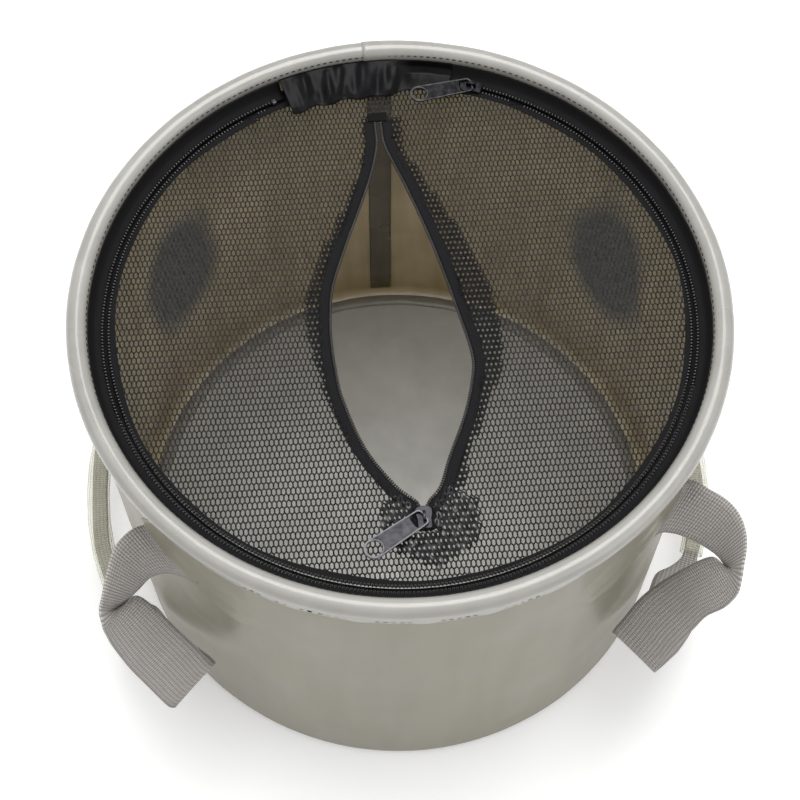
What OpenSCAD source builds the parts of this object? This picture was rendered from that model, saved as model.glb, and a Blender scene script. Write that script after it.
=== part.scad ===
// Soft-walled round bait bucket with a zipped mesh lid and two webbing handles.
// Millimetres, +Z up. The origin is the middle of the base, on the ground.
// +Y is the back, where the lid folds, and the slit in the lid runs along Y.

/* [Bucket] */
// Outside diameter of the rim
rim_d = 400; // [360:1:440]
// Height from the ground to the top of the rim
bucket_h = 295; // [240:1:340]
// Diameter of the wall at the ground
base_d = 376; // [340:1:380]
// Thickness of the wall sheet
sheet_t = 1.2; // [0.8:0.1:2]
// Bend radius where the wall turns in under the floor
base_bend_r = 7; // [5:0.5:12]
// Width of the wall's turned-in flange
base_flange = 14; // [8:1:24]
// Thickness of the floor sheet
floor_t = 1.6; // [1:0.1:3]
// Width of the weld ribbon round the floor
weld_w = 9; // [5:1:14]
// Width of the lap strip over the wall's side seam
seam_w = 16; // [10:1:24]

/* [Rim] */
// Outside diameter of the rim piping
piping_d = 12.5; // [10:0.5:16]
// Wall of the rim piping
piping_t = 1.8; // [1:0.1:2.5]
// Diameter of the hoop inside the piping
hoop_d = 8; // [5:0.5:9]
// How much the piping's lapped end adds to its radius
lap_t = 0.5; // [0.3:0.1:1]
// Length of the piping's lapped end
lap_len = 60; // [30:1:90]
// Height of the hem below the piping
hem_h = 11; // [6:0.5:16]
// Thickness of the hem
hem_t = 1.4; // [0.8:0.1:2]

/* [Zips] */
// Radius of the closed zip chain round the lid
chain_r = 178; // [174:0.5:180]
// Gap between the two coils of a closed chain
chain_gap = 1.8; // [1.4:0.1:2.4]
// Width of one coil
coil_w = 2.1; // [1.6:0.1:2.6]
// Height of a coil
coil_h = 2.4; // [1.8:0.1:3]
// Spacing of the teeth along the slit's coils
tooth_pitch = 1.5; // [1.4:0.1:3]
// Depth of the gaps between the teeth
tooth_depth = 0.7; // [0.4:0.1:1]
// Thickness of the woven zip tape
tape_t = 0.6; // [0.4:0.1:1]
// Width of the zip tape on the lid, measured from its coil
tape_w = 10; // [7:0.5:14]
// Running clearance between a slider and what passes through it
slider_fit = 0.3; // [0.2:0.05:0.5]
// Length of a slider
slider_len = 14; // [11:0.5:18]
// Width of a slider's wide end
slider_w = 9.6; // [8.6:0.1:11]
// Thickness of a slider's plates
slider_plate = 1; // [0.7:0.1:1.5]
// Length of a pull tab from its pin to its free end
pull_len = 41; // [30:1:50]
// Width of a pull tab at its free end
pull_w = 12.4; // [10:0.2:14]
// Width of a pull tab at its pin
pull_neck_w = 10.6; // [9:0.2:12]
// Thickness of a pull tab
pull_t = 1.3; // [1:0.1:2]
// Diameter of the hole in a pull tab's free end
pull_hole_d = 9.6; // [5:0.2:10]
// How far round the rim the slider is parked, from +X
rim_park = 70.9; // [69:0.1:72]

/* [Lid] */
// Y of the line along which the lid folds
hinge_y = 153; // [150:0.5:158]
// Front end of the open slit
slit_front = -128; // [-132:1:-118]
// Rear end of the open slit
slit_rear = 131; // [118:1:132]
// Turn of the slit from the bucket's front-to-back line
slit_turn = 1.6; // [0:0.1:3]
// Half width of the slit on the left, at its widest
slit_left_w = 42; // [20:1:50]
// Half width of the slit on the right, at its widest
slit_right_w = 39; // [20:1:50]
// Thickness of the mesh
mesh_t = 1.2; // [0.8:0.1:2]
// Distance between the holes of the net
net_pitch = 17; // [16:0.5:24]
// Width of the bars between the holes of the net
net_bar = 2.4; // [1.5:0.1:4]
// Width of the tape beside the slit's coils
slit_tape_w = 9; // [6:0.5:14]
// Left end of the satin gusset, as an angle from +X
gusset_left = 110.6; // [108:0.1:111]
// Right end of the satin gusset, as an angle from +X
gusset_right = 83.8; // [80:0.1:86]
// Number of folds in the satin gusset
gusset_folds = 6; // [3:1:9]
// Height of the folds in the satin gusset
gusset_fold_h = 0.9; // [0.3:0.1:1.2]

/* [Handles] */
// Width of the webbing
webbing_w = 38; // [30:1:42]
// Thickness of the webbing
webbing_t = 1.4; // [1:0.1:2]
// Angle from the handle's middle to each strap end
strap_angle = 41.4; // [36:0.1:46]
// Height of the strap ends on the wall
strap_z = 241; // [225:1:245]
// Tilt of the patches from upright
patch_tilt = 20; // [0:1:30]
// Width of a patch
patch_w = 56; // [48:1:70]
// Height of a patch
patch_h = 92; // [60:1:96]
// Thickness of a patch
patch_t = 1.5; // [1:0.1:2.5]
// Distance from the wall line to the swing axis
swing_x = 177; // [174:0.5:180]
// Height of the swing axis
swing_z = 215; // [205:1:220]
// Angle covered by half of the grip
grip_half = 20; // [14:0.5:22]
// Radius of the handle's run past the middle
grip_r = 214; // [210:0.5:222]
// Height of the grip
grip_z = 50; // [40:1:70]
// Width of the grip
grip_w = 16; // [14:0.5:20]
// Height of the grip's section
grip_h = 8; // [7:0.5:12]
// Wall of the grip's sleeve
grip_t = 1.4; // [0.8:0.1:2]

/* [Hidden] */

$fn = 96;
// Gap between a coil and the tape it is sewn along
sewn = 0.12;
// Gap left between pieces that lie against each other
seat = 0.3;
// More than any piece, for cutting shapes
big = 500;
// Overrun of cutting shapes past the faces they cut
over = 1;

piping_r = piping_d / 2;
rim_r = rim_d / 2;
hoop_circle_r = rim_r - piping_r;
hoop_z = bucket_h - piping_r;
// The wall is a straight cone from the ground to the piping
wall_top = bucket_h - piping_d - seat;
wall_base_r = base_d / 2;
wall_top_r = hoop_circle_r + sheet_t / 2;
wall_slope = (wall_top_r - wall_base_r) / wall_top;
floor_r = wall_base_r - base_bend_r;

lid_z = hoop_z - piping_r - 4.5;
tape_low = lid_z - tape_t / 2;
tape_high = lid_z + tape_t / 2;
coil_low = lid_z - coil_h / 2;
rim_coil_r = chain_r + chain_gap / 2;
lid_coil_r = chain_r - chain_gap / 2 - coil_w;
lid_tape_r = lid_coil_r - tape_w;
mesh_r = lid_tape_r + 5;
mesh_low = tape_low - mesh_t;
// The fixed half of the lid starts this far behind the fold
fold_gap = 0.6;

slider_half = (slider_len / 2) / chain_r * 180 / PI;
// The slider stops short of each end of the chain
rim_chain_right = rim_park + slider_half + 0.4;
rim_travel_end = gusset_left + slider_half + 2;
rim_chain_left = rim_travel_end - slider_half - 0.4;
stop_angle = 0.9;

slit_y0 = slit_front - slider_len;
slit_y1 = slit_rear + slider_len;
slit_park_y = slit_front - slider_len / 2;
slit_end_x = chain_gap / 2;

swivel_rim = 31;
swivel_slit = 60;
rim_pull_rise = 3.6;
slit_pull_rise = 0;

function wall_r(z) = wall_base_r + wall_slope * z;
function cyl(a, r, z) = [r * cos(a), r * sin(a), z];
function unit(v) = v / norm(v);

// A smooth curve through a list of values, with steps points to each span
function spline_at(p, i, t) = let(
    n = len(p) - 1,
    a = i == 0 ? 2 * p[0] - p[1] : p[i - 1],
    b = p[i],
    c = p[i + 1],
    d = i + 2 > n ? 2 * p[n] - p[n - 1] : p[i + 2]
) (2 * b + (c - a) * t + (2 * a - 5 * b + 4 * c - d) * t * t + (3 * b - a - 3 * c + d) * t * t * t) / 2;
function spline(p, steps) = [
    for (i = [0:len(p) - 2]) for (k = [0:steps - 1]) spline_at(p, i, k / steps),
    p[len(p) - 1]
];

// The slit's edges as [share of its length from the front, share of the half width]
slit_left_shape = [
    [0, 0], [0.02, 0.05], [0.06, 0.3], [0.16, 0.68], [0.28, 0.91], [0.36, 0.98], [0.46, 1], [0.57, 0.93],
    [0.67, 0.72], [0.78, 0.44], [0.88, 0.19], [0.96, 0.04], [1, 0]
];
slit_right_shape = [
    [0, 0], [0.02, 0.08], [0.05, 0.26], [0.12, 0.45], [0.22, 0.76], [0.31, 0.95], [0.38, 1], [0.5, 0.86],
    [0.6, 0.73], [0.71, 0.56], [0.85, 0.3], [0.96, 0.06], [1, 0]
];
slit_left_curve = spline(slit_left_shape, 5);
slit_right_curve = spline(slit_right_shape, 5);
slit_steps = 28;
function slit_x(side, u) = slit_end_x + (side < 0
    ? (slit_left_w - slit_end_x) * max(0, lookup(u, slit_left_curve))
    : (slit_right_w - slit_end_x) * max(0, lookup(u, slit_right_curve)));
// A point off outwards from the slit's edge, at right angles to it
function slit_point(side, u, off) = let(
    step = 0.01,
    span = slit_rear - slit_front,
    u0 = max(0, u - step),
    u1 = min(1, u + step),
    turn = atan2(slit_x(side, u1) - slit_x(side, u0), (u1 - u0) * span)
) [side * (slit_x(side, u) + off * cos(turn)), slit_front + span * u - off * sin(turn)];
// The slit's edge with its straight ends, offset outwards, from front to rear
function slit_edge(side, off) = concat(
    [[side * (slit_end_x + off), slit_y0]],
    [for (i = [0:slit_steps]) slit_point(side, i / slit_steps, off)],
    [[side * (slit_end_x + off), slit_y1]]
);
function reversed(p) = [for (i = [len(p) - 1:-1:0]) p[i]];

module ring_sector(from, to) {
    rotate([0, 0, from]) rotate_extrude(angle = to - from) children();
}

// A band of the cone, d0 to d1 outside the wall's outer face, between two heights
module cone_band(d0, d1, z0, z1) {
    polygon([[wall_r(z0) + d0, z0], [wall_r(z0) + d1, z0], [wall_r(z1) + d1, z1], [wall_r(z1) + d0, z1]]);
}

module rounded_rect(w, h, r) {
    square([w - 2 * r, h], center = true);
    square([w, h - 2 * r], center = true);
    for (x = [-1, 1]) for (y = [-1, 1])
        translate([x * (w / 2 - r), y * (h / 2 - r)]) circle(r = r);
}

// Bucket shell

module wall_profile() {
    bend_z = base_bend_r;
    bend_x = wall_r(bend_z) - base_bend_r;
    cone_band(-sheet_t, 0, bend_z, wall_top);
    translate([bend_x, bend_z]) intersection() {
        difference() {
            circle(r = base_bend_r);
            circle(r = base_bend_r - sheet_t);
        }
        translate([0, -base_bend_r]) square(base_bend_r);
    }
    translate([bend_x - base_flange, 0]) square([base_flange, sheet_t]);
}

module wall_sheet() {
    color("#a6a094") rotate_extrude() wall_profile();
}

seam_half = seam_w / 2 / wall_base_r * 180 / PI;
module wall_seam_strip() {
    color("#8f897c") ring_sector(90 - seam_half, 90 + seam_half)
        cone_band(-2 * sheet_t - seat, -sheet_t - seat, base_bend_r + sheet_t, wall_top - 2);
}

module floor_sheet() {
    color("#8e8d89") translate([0, 0, sheet_t]) cylinder(r = floor_r, h = floor_t);
}

module floor_weld_ribbon() {
    color("#9a968c") translate([0, 0, sheet_t + floor_t]) rotate_extrude()
        translate([floor_r - weld_w, 0]) square([weld_w, sheet_t / 2]);
}

// Rim

module rim_hoop() {
    color("#2c2c2c") translate([0, 0, hoop_z]) rotate_extrude()
        translate([hoop_circle_r, 0]) circle(d = hoop_d);
}

module rim_piping() {
    color("#c8c5bd") translate([0, 0, hoop_z]) rotate_extrude()
        translate([hoop_circle_r, 0]) difference() {
            circle(r = piping_r);
            circle(r = piping_r - piping_t);
        }
}

lap_start = 93.2;
lap_angle = lap_len / rim_r * 180 / PI;
module rim_piping_lap() {
    color("#cfccc4") translate([0, 0, hoop_z]) ring_sector(lap_start - lap_angle, lap_start)
        translate([hoop_circle_r, 0]) intersection() {
            difference() {
                circle(r = piping_r + lap_t);
                circle(r = piping_r + sewn);
            }
            translate([-piping_r - over, -lap_t * 4]) square([2 * piping_r + 2 * over, piping_d]);
        }
}

module rim_hem() {
    color("#bdb9ae") rotate_extrude() cone_band(seat, seat + hem_t, wall_top - hem_h, wall_top);
}

rim_tape_out = rim_coil_r + coil_w + sewn;
slider_clear_r = chain_r + slider_w / 2 + seat;
tape_lean_z = hoop_z - 2;
tape_lean_r = hoop_circle_r - sqrt(piping_r * piping_r - 4) - seat;
module rim_tape_profile() {
    polygon([
        [rim_tape_out, tape_low], [slider_clear_r, tape_low], [tape_lean_r, tape_lean_z - tape_t],
        [tape_lean_r, tape_lean_z], [tape_lean_r - tape_t * 1.4, tape_lean_z],
        [slider_clear_r - tape_t / 2, tape_high], [rim_tape_out, tape_high]
    ]);
}
module rim_tape() {
    color("#1b1b1d") ring_sector(gusset_left, gusset_right + 360) rim_tape_profile();
}

module plain_coil(from, to, r0) {
    ring_sector(from, to) translate([r0, coil_low]) square([coil_w, coil_h]);
}

module rim_coil() {
    color("#151516") plain_coil(rim_chain_left, rim_chain_right + 360, rim_coil_r);
}

module rim_zip_stops() {
    color("#4b4b4d") for (a = [rim_chain_left - stop_angle, rim_chain_right])
        ring_sector(a, a + stop_angle) translate([rim_coil_r - chain_gap / 2, coil_low])
            square([coil_w + chain_gap / 2, coil_h]);
}

// Satin gusset, gathered into radial folds
gusset_in = chain_r - slider_w / 2 - seat;
gusset_rows = [
    [gusset_in, tape_high + seat, 0.2], [gusset_in + 4, tape_high + 1.6, 1],
    [gusset_in + 9, tape_high + 4.4, 1], [tape_lean_r - lap_t - seat, tape_lean_z, 0.2]
];
gusset_cells = gusset_folds * 6;
gusset_sheet = 0.5;
function gusset_point(i, k, lift) = let(
    a = gusset_right + 0.2 + (gusset_left - gusset_right - 0.4) * i / gusset_cells,
    row = gusset_rows[k],
    fold = gusset_fold_h * row[2] * (0.5 + 0.5 * cos(360 * gusset_folds * i / gusset_cells + 40 * k))
) cyl(a, row[0], row[1] + fold + lift);
module satin_gusset() {
    n = len(gusset_rows);
    wide = gusset_cells + 1;
    top = [for (i = [0:gusset_cells]) for (k = [0:n - 1]) gusset_point(i, k, gusset_sheet)];
    bottom = [for (i = [0:gusset_cells]) for (k = [0:n - 1]) gusset_point(i, k, 0)];
    m = n * wide;
    faces = concat(
        [for (i = [0:gusset_cells - 1]) for (k = [0:n - 2]) [i * n + k, i * n + k + 1, (i + 1) * n + k]],
        [for (i = [0:gusset_cells - 1]) for (k = [0:n - 2]) [i * n + k + 1, (i + 1) * n + k + 1, (i + 1) * n + k]],
        [for (i = [0:gusset_cells - 1]) for (k = [0:n - 2]) [m + i * n + k, m + (i + 1) * n + k, m + i * n + k + 1]],
        [for (i = [0:gusset_cells - 1]) for (k = [0:n - 2])
            [m + i * n + k + 1, m + (i + 1) * n + k, m + (i + 1) * n + k + 1]],
        [for (i = [0:gusset_cells - 1]) [i * n, (i + 1) * n, m + i * n]],
        [for (i = [0:gusset_cells - 1]) [(i + 1) * n, m + (i + 1) * n, m + i * n]],
        [for (i = [0:gusset_cells - 1]) [i * n + n - 1, m + i * n + n - 1, (i + 1) * n + n - 1]],
        [for (i = [0:gusset_cells - 1]) [(i + 1) * n + n - 1, m + i * n + n - 1, m + (i + 1) * n + n - 1]],
        [for (k = [0:n - 2]) [k, m + k, k + 1]],
        [for (k = [0:n - 2]) [k + 1, m + k, m + k + 1]],
        [for (k = [0:n - 2]) [gusset_cells * n + k, gusset_cells * n + k + 1, m + gusset_cells * n + k]],
        [for (k = [0:n - 2])
            [gusset_cells * n + k + 1, m + gusset_cells * n + k + 1, m + gusset_cells * n + k]]
    );
    color("#202024") polyhedron(concat(top, bottom), faces);
}

// Lid, split along the fold into a moving front and a rear panel that stays

module front_half() {
    translate([-big / 2, hinge_y - big]) square(big);
}
module rear_half() {
    translate([-big / 2, hinge_y + fold_gap]) square(big);
}

// Rows of six-sided holes, every other row set over by half a pitch
net_row = net_pitch * 0.75;
net_hole_r = (net_pitch - net_bar) / 2;
module net_holes(x0, x1, y0, y1) {
    for (j = [ceil(y0 / net_row):floor(y1 / net_row)])
        for (i = [ceil(x0 / net_pitch):floor(x1 / net_pitch)])
            translate([(i + (j % 2 == 0 ? 0 : 0.5)) * net_pitch, j * net_row])
                rotate([0, 0, 30]) circle(r = net_hole_r, $fn = 6);
}

mesh_border = 7;
// How far the mesh laps under the slit's tapes
mesh_lap = 5;
module slit_side(side, off) {
    rotate([0, 0, slit_turn]) polygon(concat(
        [[side * off, slit_y0 - big]], slit_edge(side, off), [[side * off, slit_y1 + big]],
        [[side * big, slit_y1 + big], [side * big, slit_y0 - big]]
    ));
}

// Half of the lid's disc, outside the coil of the slit
module mesh_half(side, inset) {
    intersection() {
        circle(r = mesh_r - inset);
        slit_side(side, coil_w + slit_tape_w - mesh_lap + inset);
        translate([-big / 2, hinge_y - big - inset]) square(big);
    }
}

module lid_mesh(side) {
    color("#26262a") translate([0, 0, mesh_low]) linear_extrude(mesh_t) difference() {
        mesh_half(side, 0);
        intersection() {
            net_holes(-mesh_r, mesh_r, -mesh_r, hinge_y);
            mesh_half(side, mesh_border);
        }
    }
}

module rear_mesh() {
    color("#26262a") translate([0, 0, mesh_low]) linear_extrude(mesh_t) intersection() {
        circle(r = mesh_r);
        rear_half();
    }
}

module tape_ring() {
    difference() {
        circle(r = lid_coil_r - sewn);
        circle(r = lid_tape_r);
    }
}

module lid_zip_tape() {
    color("#1b1b1d") translate([0, 0, tape_low]) linear_extrude(tape_t) intersection() {
        tape_ring();
        front_half();
    }
}

lid_chain_end = asin((hinge_y - over) / (lid_coil_r + coil_w));
rear_chain_start = asin((hinge_y + fold_gap + over) / lid_coil_r);
module rear_zip_tape() {
    color("#1b1b1d") translate([0, 0, tape_low]) linear_extrude(tape_t) intersection() {
        tape_ring();
        rear_half();
    }
}

module rear_zip_coil() {
    color("#151516") {
        plain_coil(rear_chain_start, rim_chain_right, lid_coil_r);
        plain_coil(rim_chain_left, 180 - rear_chain_start, lid_coil_r);
    }
}

module lid_coil() {
    color("#151516") plain_coil(180 - lid_chain_end, 360 + lid_chain_end, lid_coil_r);
}

// Slit

module slit_turned() {
    rotate([0, 0, slit_turn]) children();
}

module slit_tape(side) {
    color("#1b1b1d") slit_turned() translate([0, 0, tape_low]) linear_extrude(tape_t)
        polygon(concat(slit_edge(side, coil_w + sewn), reversed(slit_edge(side, coil_w + slit_tape_w))));
}

// A coil along the slit's edge, with its teeth towards the slit
module slit_coil(side) {
    count = floor((slit_rear - slit_front) / tooth_pitch);
    teeth = [for (i = [0:count - 1]) for (k = [[0.1, tooth_depth], [0.3, 0], [0.7, 0], [0.9, tooth_depth]])
        slit_point(side, (i + k[0]) / count, k[1])];
    root = side * (slit_end_x + tooth_depth);
    color("#151516") slit_turned() translate([0, 0, coil_low]) linear_extrude(coil_h) polygon(concat(
        [[root, slit_y0]], teeth, [[root, slit_y1]], reversed(slit_edge(side, coil_w))
    ));
}

tack_len = hinge_y - slit_y1 - 3 * seat;
module slit_rear_tack() {
    color("#222226") slit_turned() translate([0, slit_y1 + seat + tack_len / 2, tape_low])
        linear_extrude(tape_t) rounded_rect(14, tack_len, 1.5);
}

patch_depth = 24;
module slit_front_patch() {
    patch_y = slit_y0 - seat - patch_depth / 2;
    color("#17171b") slit_turned() translate([0, patch_y, tape_low])
        linear_extrude(tape_t) intersection() {
            rounded_rect(44, patch_depth, 4);
            translate([0, -patch_y]) circle(r = lid_tape_r - seat);
        }
}

// Sliders

// Height of the space between a slider's plates
slider_bore = coil_h + 2 * slider_fit;
slider_low = lid_z - slider_bore / 2 - slider_plate;
slider_high = lid_z + slider_bore / 2 + slider_plate;
slider_tail_w = slider_w - 1.6;
lip_gap = tape_t + 4 * slider_fit;
lip_t = 0.8;
post_w = chain_gap - 2 * slider_fit;
crown_len = 6.4;
crown_w = 1.4;
crown_foot = 0.7;
crown_bar = 1;
pin_d = 1;
pin_up = pull_t / 2 + slider_fit + 0.1;
pin_z = slider_high + pin_up;

// Outline of a slider, wide at +Y and narrow at -Y
module slider_outline(inset) {
    w0 = slider_tail_w / 2 - inset;
    w1 = slider_w / 2 - inset;
    h = slider_len / 2;
    polygon([[-w0, -h], [w0, -h], [w0, -1], [w1, 2], [w1, h - 2], [w1 - 2, h], [2 - w1, h], [-w1, h - 2], [-w1, 2],
        [-w0, -1]]);
}

module slider_body() {
    for (z = [slider_low, slider_high - slider_plate])
        translate([0, 0, z]) linear_extrude(slider_plate) slider_outline(0);
    difference() {
        translate([0, 0, slider_low]) linear_extrude(slider_high - slider_low) difference() {
            slider_outline(0);
            slider_outline(lip_t);
            translate([-slider_w, slider_len / 2 - 5]) square([2 * slider_w, 6]);
            translate([-slider_w, -slider_len / 2 - over]) square([2 * slider_w, 2]);
        }
        translate([0, 0, lid_z]) cube([2 * slider_w, 2 * slider_len, lip_gap], center = true);
    }
    translate([0, slider_len / 2 - 2.5, lid_z]) cube([post_w, 4, slider_bore + over], center = true);
    crown_high = 2 * pin_up + crown_bar;
    translate([-crown_w / 2, 0, slider_high - seat]) rotate([90, 0, 90]) linear_extrude(crown_w) difference() {
        polygon([[-crown_len / 2, 0], [crown_len / 2, 0], [crown_len / 2, crown_high * 0.7 + seat],
            [crown_len / 2 - 1.2, crown_high + seat], [1.2 - crown_len / 2, crown_high + seat],
            [-crown_len / 2, crown_high * 0.7 + seat]]);
        translate([crown_foot - crown_len / 2, seat]) square([crown_len - 2 * crown_foot, 2 * pin_up]);
    }
}

// A pull tab lying along +X from a pin along Y at the origin
pull_open = 8;
pull_arm = 1;
pin_half = crown_len / 2 + 0.1;
module pull_outline(inset) {
    end_r = pull_w / 2 - inset;
    neck = pull_neck_w / 2 - inset;
    far = pull_len - pull_w / 2;
    turn = 2.6;
    polygon([[turn, -neck], [far, -end_r], [far, end_r], [turn, neck]]);
    translate([far, 0]) circle(r = end_r);
    translate([turn - pin_d / 2, 0]) square([2 * turn, 2 * neck - 2 * turn + 2 * inset], center = true);
    translate([inset - pin_d / 2, inset - neck + turn]) square([turn, 2 * neck - 2 * turn]);
    for (side = [-1, 1]) translate([turn - pin_d / 2, side * (neck - turn + inset)]) circle(r = turn - inset);
}

module pull_tab() {
    hole_x = pull_len - pull_w / 2;
    panel_x0 = pull_open + 1.2;
    panel_x1 = hole_x - pull_hole_d / 2 - 1.2;
    difference() {
        translate([0, 0, -pull_t / 2]) linear_extrude(pull_t) difference() {
            pull_outline(0);
            translate([hole_x, 0]) circle(d = pull_hole_d);
            intersection() {
                pull_outline(pull_arm);
                translate([pin_d / 2, -pull_neck_w / 2]) square([pull_open - pin_d / 2, pull_neck_w]);
            }
            translate([-pin_d, -pin_half]) square([2 * pin_d, 2 * pin_half]);
        }
        for (side = [-1, 1]) translate([panel_x0, 1.5 - pull_neck_w / 2, side > 0 ? pull_t / 2 - 0.3 : -big])
            cube([panel_x1 - panel_x0, pull_neck_w - 3, side > 0 ? pull_t : big - pull_t / 2 + 0.3]);
    }
    rotate([90, 0, 0]) cylinder(d = pin_d, h = 2 * pin_half + 0.2, center = true);
}

module rim_slider_place() {
    rotate([0, 0, rim_park]) translate([chain_r, 0, 0]) children();
}
module rim_slider() {
    color("#3a3a3e") rim_slider_place() slider_body();
}
module rim_pull() {
    color("#3a3a3e") rim_slider_place() translate([0, 0, pin_z])
        rotate([0, 0, 90 + swivel_rim]) rotate([0, -rim_pull_rise, 0]) pull_tab();
}
module slit_slider() {
    color("#3a3a3e") slit_turned() translate([0, slit_park_y, 0]) slider_body();
}
module slit_pull() {
    color("#3a3a3e") slit_turned() translate([0, slit_park_y, pin_z])
        rotate([0, 0, 270 - swivel_slit]) rotate([0, -slit_pull_rise, 0]) pull_tab();
}

// Handles

// Each patch is a tilted rectangle of sheet with a pocket for the strap end,
// open on the side that faces the handle's middle.
patch_r = wall_r(strap_z);
pocket_t = webbing_t + 4 * seat;
pocket_len = 34;
// From the strap's end on the wall to the patch's near edge and down to its middle
patch_in = 2;
patch_drop = 28;
// Turns a flat outline on the wall, with +Y away from the handle's middle
module on_wall(from, drop) {
    rotate([0, 0, strap_angle]) translate([0, 0, strap_z]) rotate([patch_tilt, 0, 0])
        rotate([0, 90, 0]) linear_extrude(big) translate([drop, from]) children();
}
module patch() {
    turn_low = strap_angle - 3;
    turn_high = strap_angle + 28;
    z_low = strap_z - patch_h;
    difference() {
        intersection() {
            ring_sector(turn_low, turn_high)
                cone_band(seat, pocket_t + patch_t, z_low, wall_top - hem_h - seat);
            on_wall(patch_in + patch_w / 2, patch_drop) rounded_rect(patch_h, patch_w, 6);
        }
        intersection() {
            ring_sector(turn_low - 1, turn_high + 1) cone_band(0, pocket_t, z_low - over, wall_top);
            on_wall(pocket_len / 2, 0) square([webbing_w + 2, pocket_len + patch_in], center = true);
        }
    }
}
module place_patch(side, end) {
    mirror([side < 0 ? 1 : 0, 0, 0]) mirror([0, end < 0 ? 1 : 0, 0]) patch();
}

// A ribbon swept along rows of centre, width direction and width, thickness
function ribbon_ring(c, w, along, width, thick) = let(
    side = unit(w - (w * along) * along),
    up = cross(along, side)
) [
    c + side * width / 2 + up * thick / 2, c - side * width / 2 + up * thick / 2,
    c - side * width / 2 - up * thick / 2, c + side * width / 2 - up * thick / 2
];
module ribbon(rows, steps) {
    centre = spline([for (r = rows) r[0]], steps);
    across = spline([for (r = rows) r[1]], steps);
    size = spline([for (r = rows) r[2]], steps);
    n = len(centre) - 1;
    rings = [for (i = [0:n]) ribbon_ring(
        centre[i], across[i], unit(centre[min(i + 1, n)] - centre[max(i - 1, 0)]), size[i][0], size[i][1])];
    points = [for (ring = rings) for (p = ring) p];
    faces = concat(
        [[0, 1, 2], [0, 2, 3]],
        [for (i = [0:n - 1]) for (k = [0:3]) [4 * i + k, 4 * i + 4 + k, 4 * i + (k + 1) % 4]],
        [for (i = [0:n - 1]) for (k = [0:3])
            [4 * i + (k + 1) % 4, 4 * i + 4 + k, 4 * i + 4 + (k + 1) % 4]],
        [[4 * n, 4 * n + 2, 4 * n + 1], [4 * n, 4 * n + 3, 4 * n + 2]]
    );
    polyhedron(points, faces);
}

// The webbing is one band. It is split where it flexes: a short end stays on the
// wall, and the loop swings on it, the two lying flat against each other.
full = [webbing_w, webbing_t];
lap_y = swing_x * tan(36.9);
root_tail = 28;
// Direction in the wall's surface, from around, outwards and up shares at an angle
function wall_dir(a, around, out, up) = [
    out * cos(a) - around * sin(a), out * sin(a) + around * cos(a), up
];
strap_wall_r = wall_r(strap_z) + pocket_t / 2;
tail_angle = strap_angle + root_tail / patch_r * 180 / PI;
tail_z = strap_z + root_tail * tan(patch_tilt);
strap_end_rows = [
    [cyl(tail_angle, wall_r(tail_z) + pocket_t / 2, tail_z), wall_dir(tail_angle, -0.34, 0.02, 0.94), full],
    [cyl(strap_angle + 3, strap_wall_r, strap_z + 3.6), wall_dir(strap_angle + 3, -0.34, 0.02, 0.94), full],
    [cyl(strap_angle, strap_wall_r + 0.2, strap_z), wall_dir(strap_angle, -0.34, 0.02, 0.94), full],
    [[swing_x - 23, lap_y - 5.4, swing_z + 22], wall_dir(strap_angle, -0.3, 0.2, 0.9), full],
    [[swing_x - 14, lap_y - 2, swing_z + 14], [0.64, 0, 0.76], full],
    [[swing_x - 7, lap_y, swing_z + 7], [0.7, 0, 0.7], full],
    [[swing_x - 1, lap_y, swing_z + 1], [0.7, 0, 0.7], full],
    [[swing_x + 4, lap_y, swing_z - 4], [0.7, 0, 0.7], full]
];
module strap_end() {
    ribbon(strap_end_rows, 5);
}
module strap_ends() {
    for (flip = [0, 1]) mirror([0, flip, 0]) strap_end();
}

grip_strap = [grip_w - 2 * grip_t - 2.6, grip_h - 2 * grip_t - 1.6];
lap_out = webbing_t + 3.5 * seat;
// From the swing axis down to the lowest turn and in to the grip, as
// [angle from the middle, radius, height, width direction around, out, up]
loop_left = [
    [37.1, 231, 189, 0.1, 0.75, 0.55], [38.3, 231, 160, 0.3, 0.9, 0.2], [41, 227, 130, 0, 1, 0.05],
    [43.7, 222, 108, 0, 1, 0], [45.3, 218, 94, 0, 1, 0], [45, 217, 84, 0, 1, 0], [42, 216, 77, 0, 1, 0],
    [35, 214, 70, 0, 1, 0], [28, 214, 61, 0, 1, 0]
];
loop_right = [
    [36.2, 235, 189, 0, 0.8, 0.5], [36, 237, 166, 0.1, 0.87, 0.45], [36.4, 230, 140, 0.1, 0.93, 0.25],
    [37.7, 222, 116, 0.1, 0.96, 0.1], [40.2, 214, 96, 0.1, 0.97, 0], [42.7, 211, 83, 0, 1, 0],
    [41.4, 211, 72, 0, 1, 0], [35, 213, 67, 0, 1, 0], [27, 214, 61, 0, 1, 0]
];
function loop_half(route) = concat(
    [
        [[swing_x - 4, lap_y + lap_out, swing_z + 4], [0.7, 0, 0.7], full],
        [[swing_x + 2, lap_y + lap_out, swing_z - 2], [0.7, 0, 0.7], full],
        [[swing_x + 8, lap_y + lap_out, swing_z - 9], [0.9, 0, 0.4], full],
        [[route[0][1] * cos(route[0][0]), lap_y + lap_out + 5, route[0][2]], [1, 0, 0], full]
    ],
    [for (i = [1:len(route) - 1]) let(p = route[i])
        [cyl(p[0], p[1], p[2]), wall_dir(p[0], p[3], p[4], p[5]), full]],
    [[cyl(grip_half + 5, grip_r, grip_z + 2), cyl(grip_half + 5, 1, 0), [webbing_w * 0.6, 2 * webbing_t]]],
    [for (a = [grip_half + 1, grip_half - 1, grip_half - 7, grip_half / 3])
        [cyl(a, grip_r, grip_z), cyl(a, 1, 0), grip_strap]]
);
function mirrored_rows(rows) = [for (r = reversed(rows)) [[r[0][0], -r[0][1], r[0][2]],
    [r[1][0], -r[1][1], r[1][2]], r[2]]];
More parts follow.
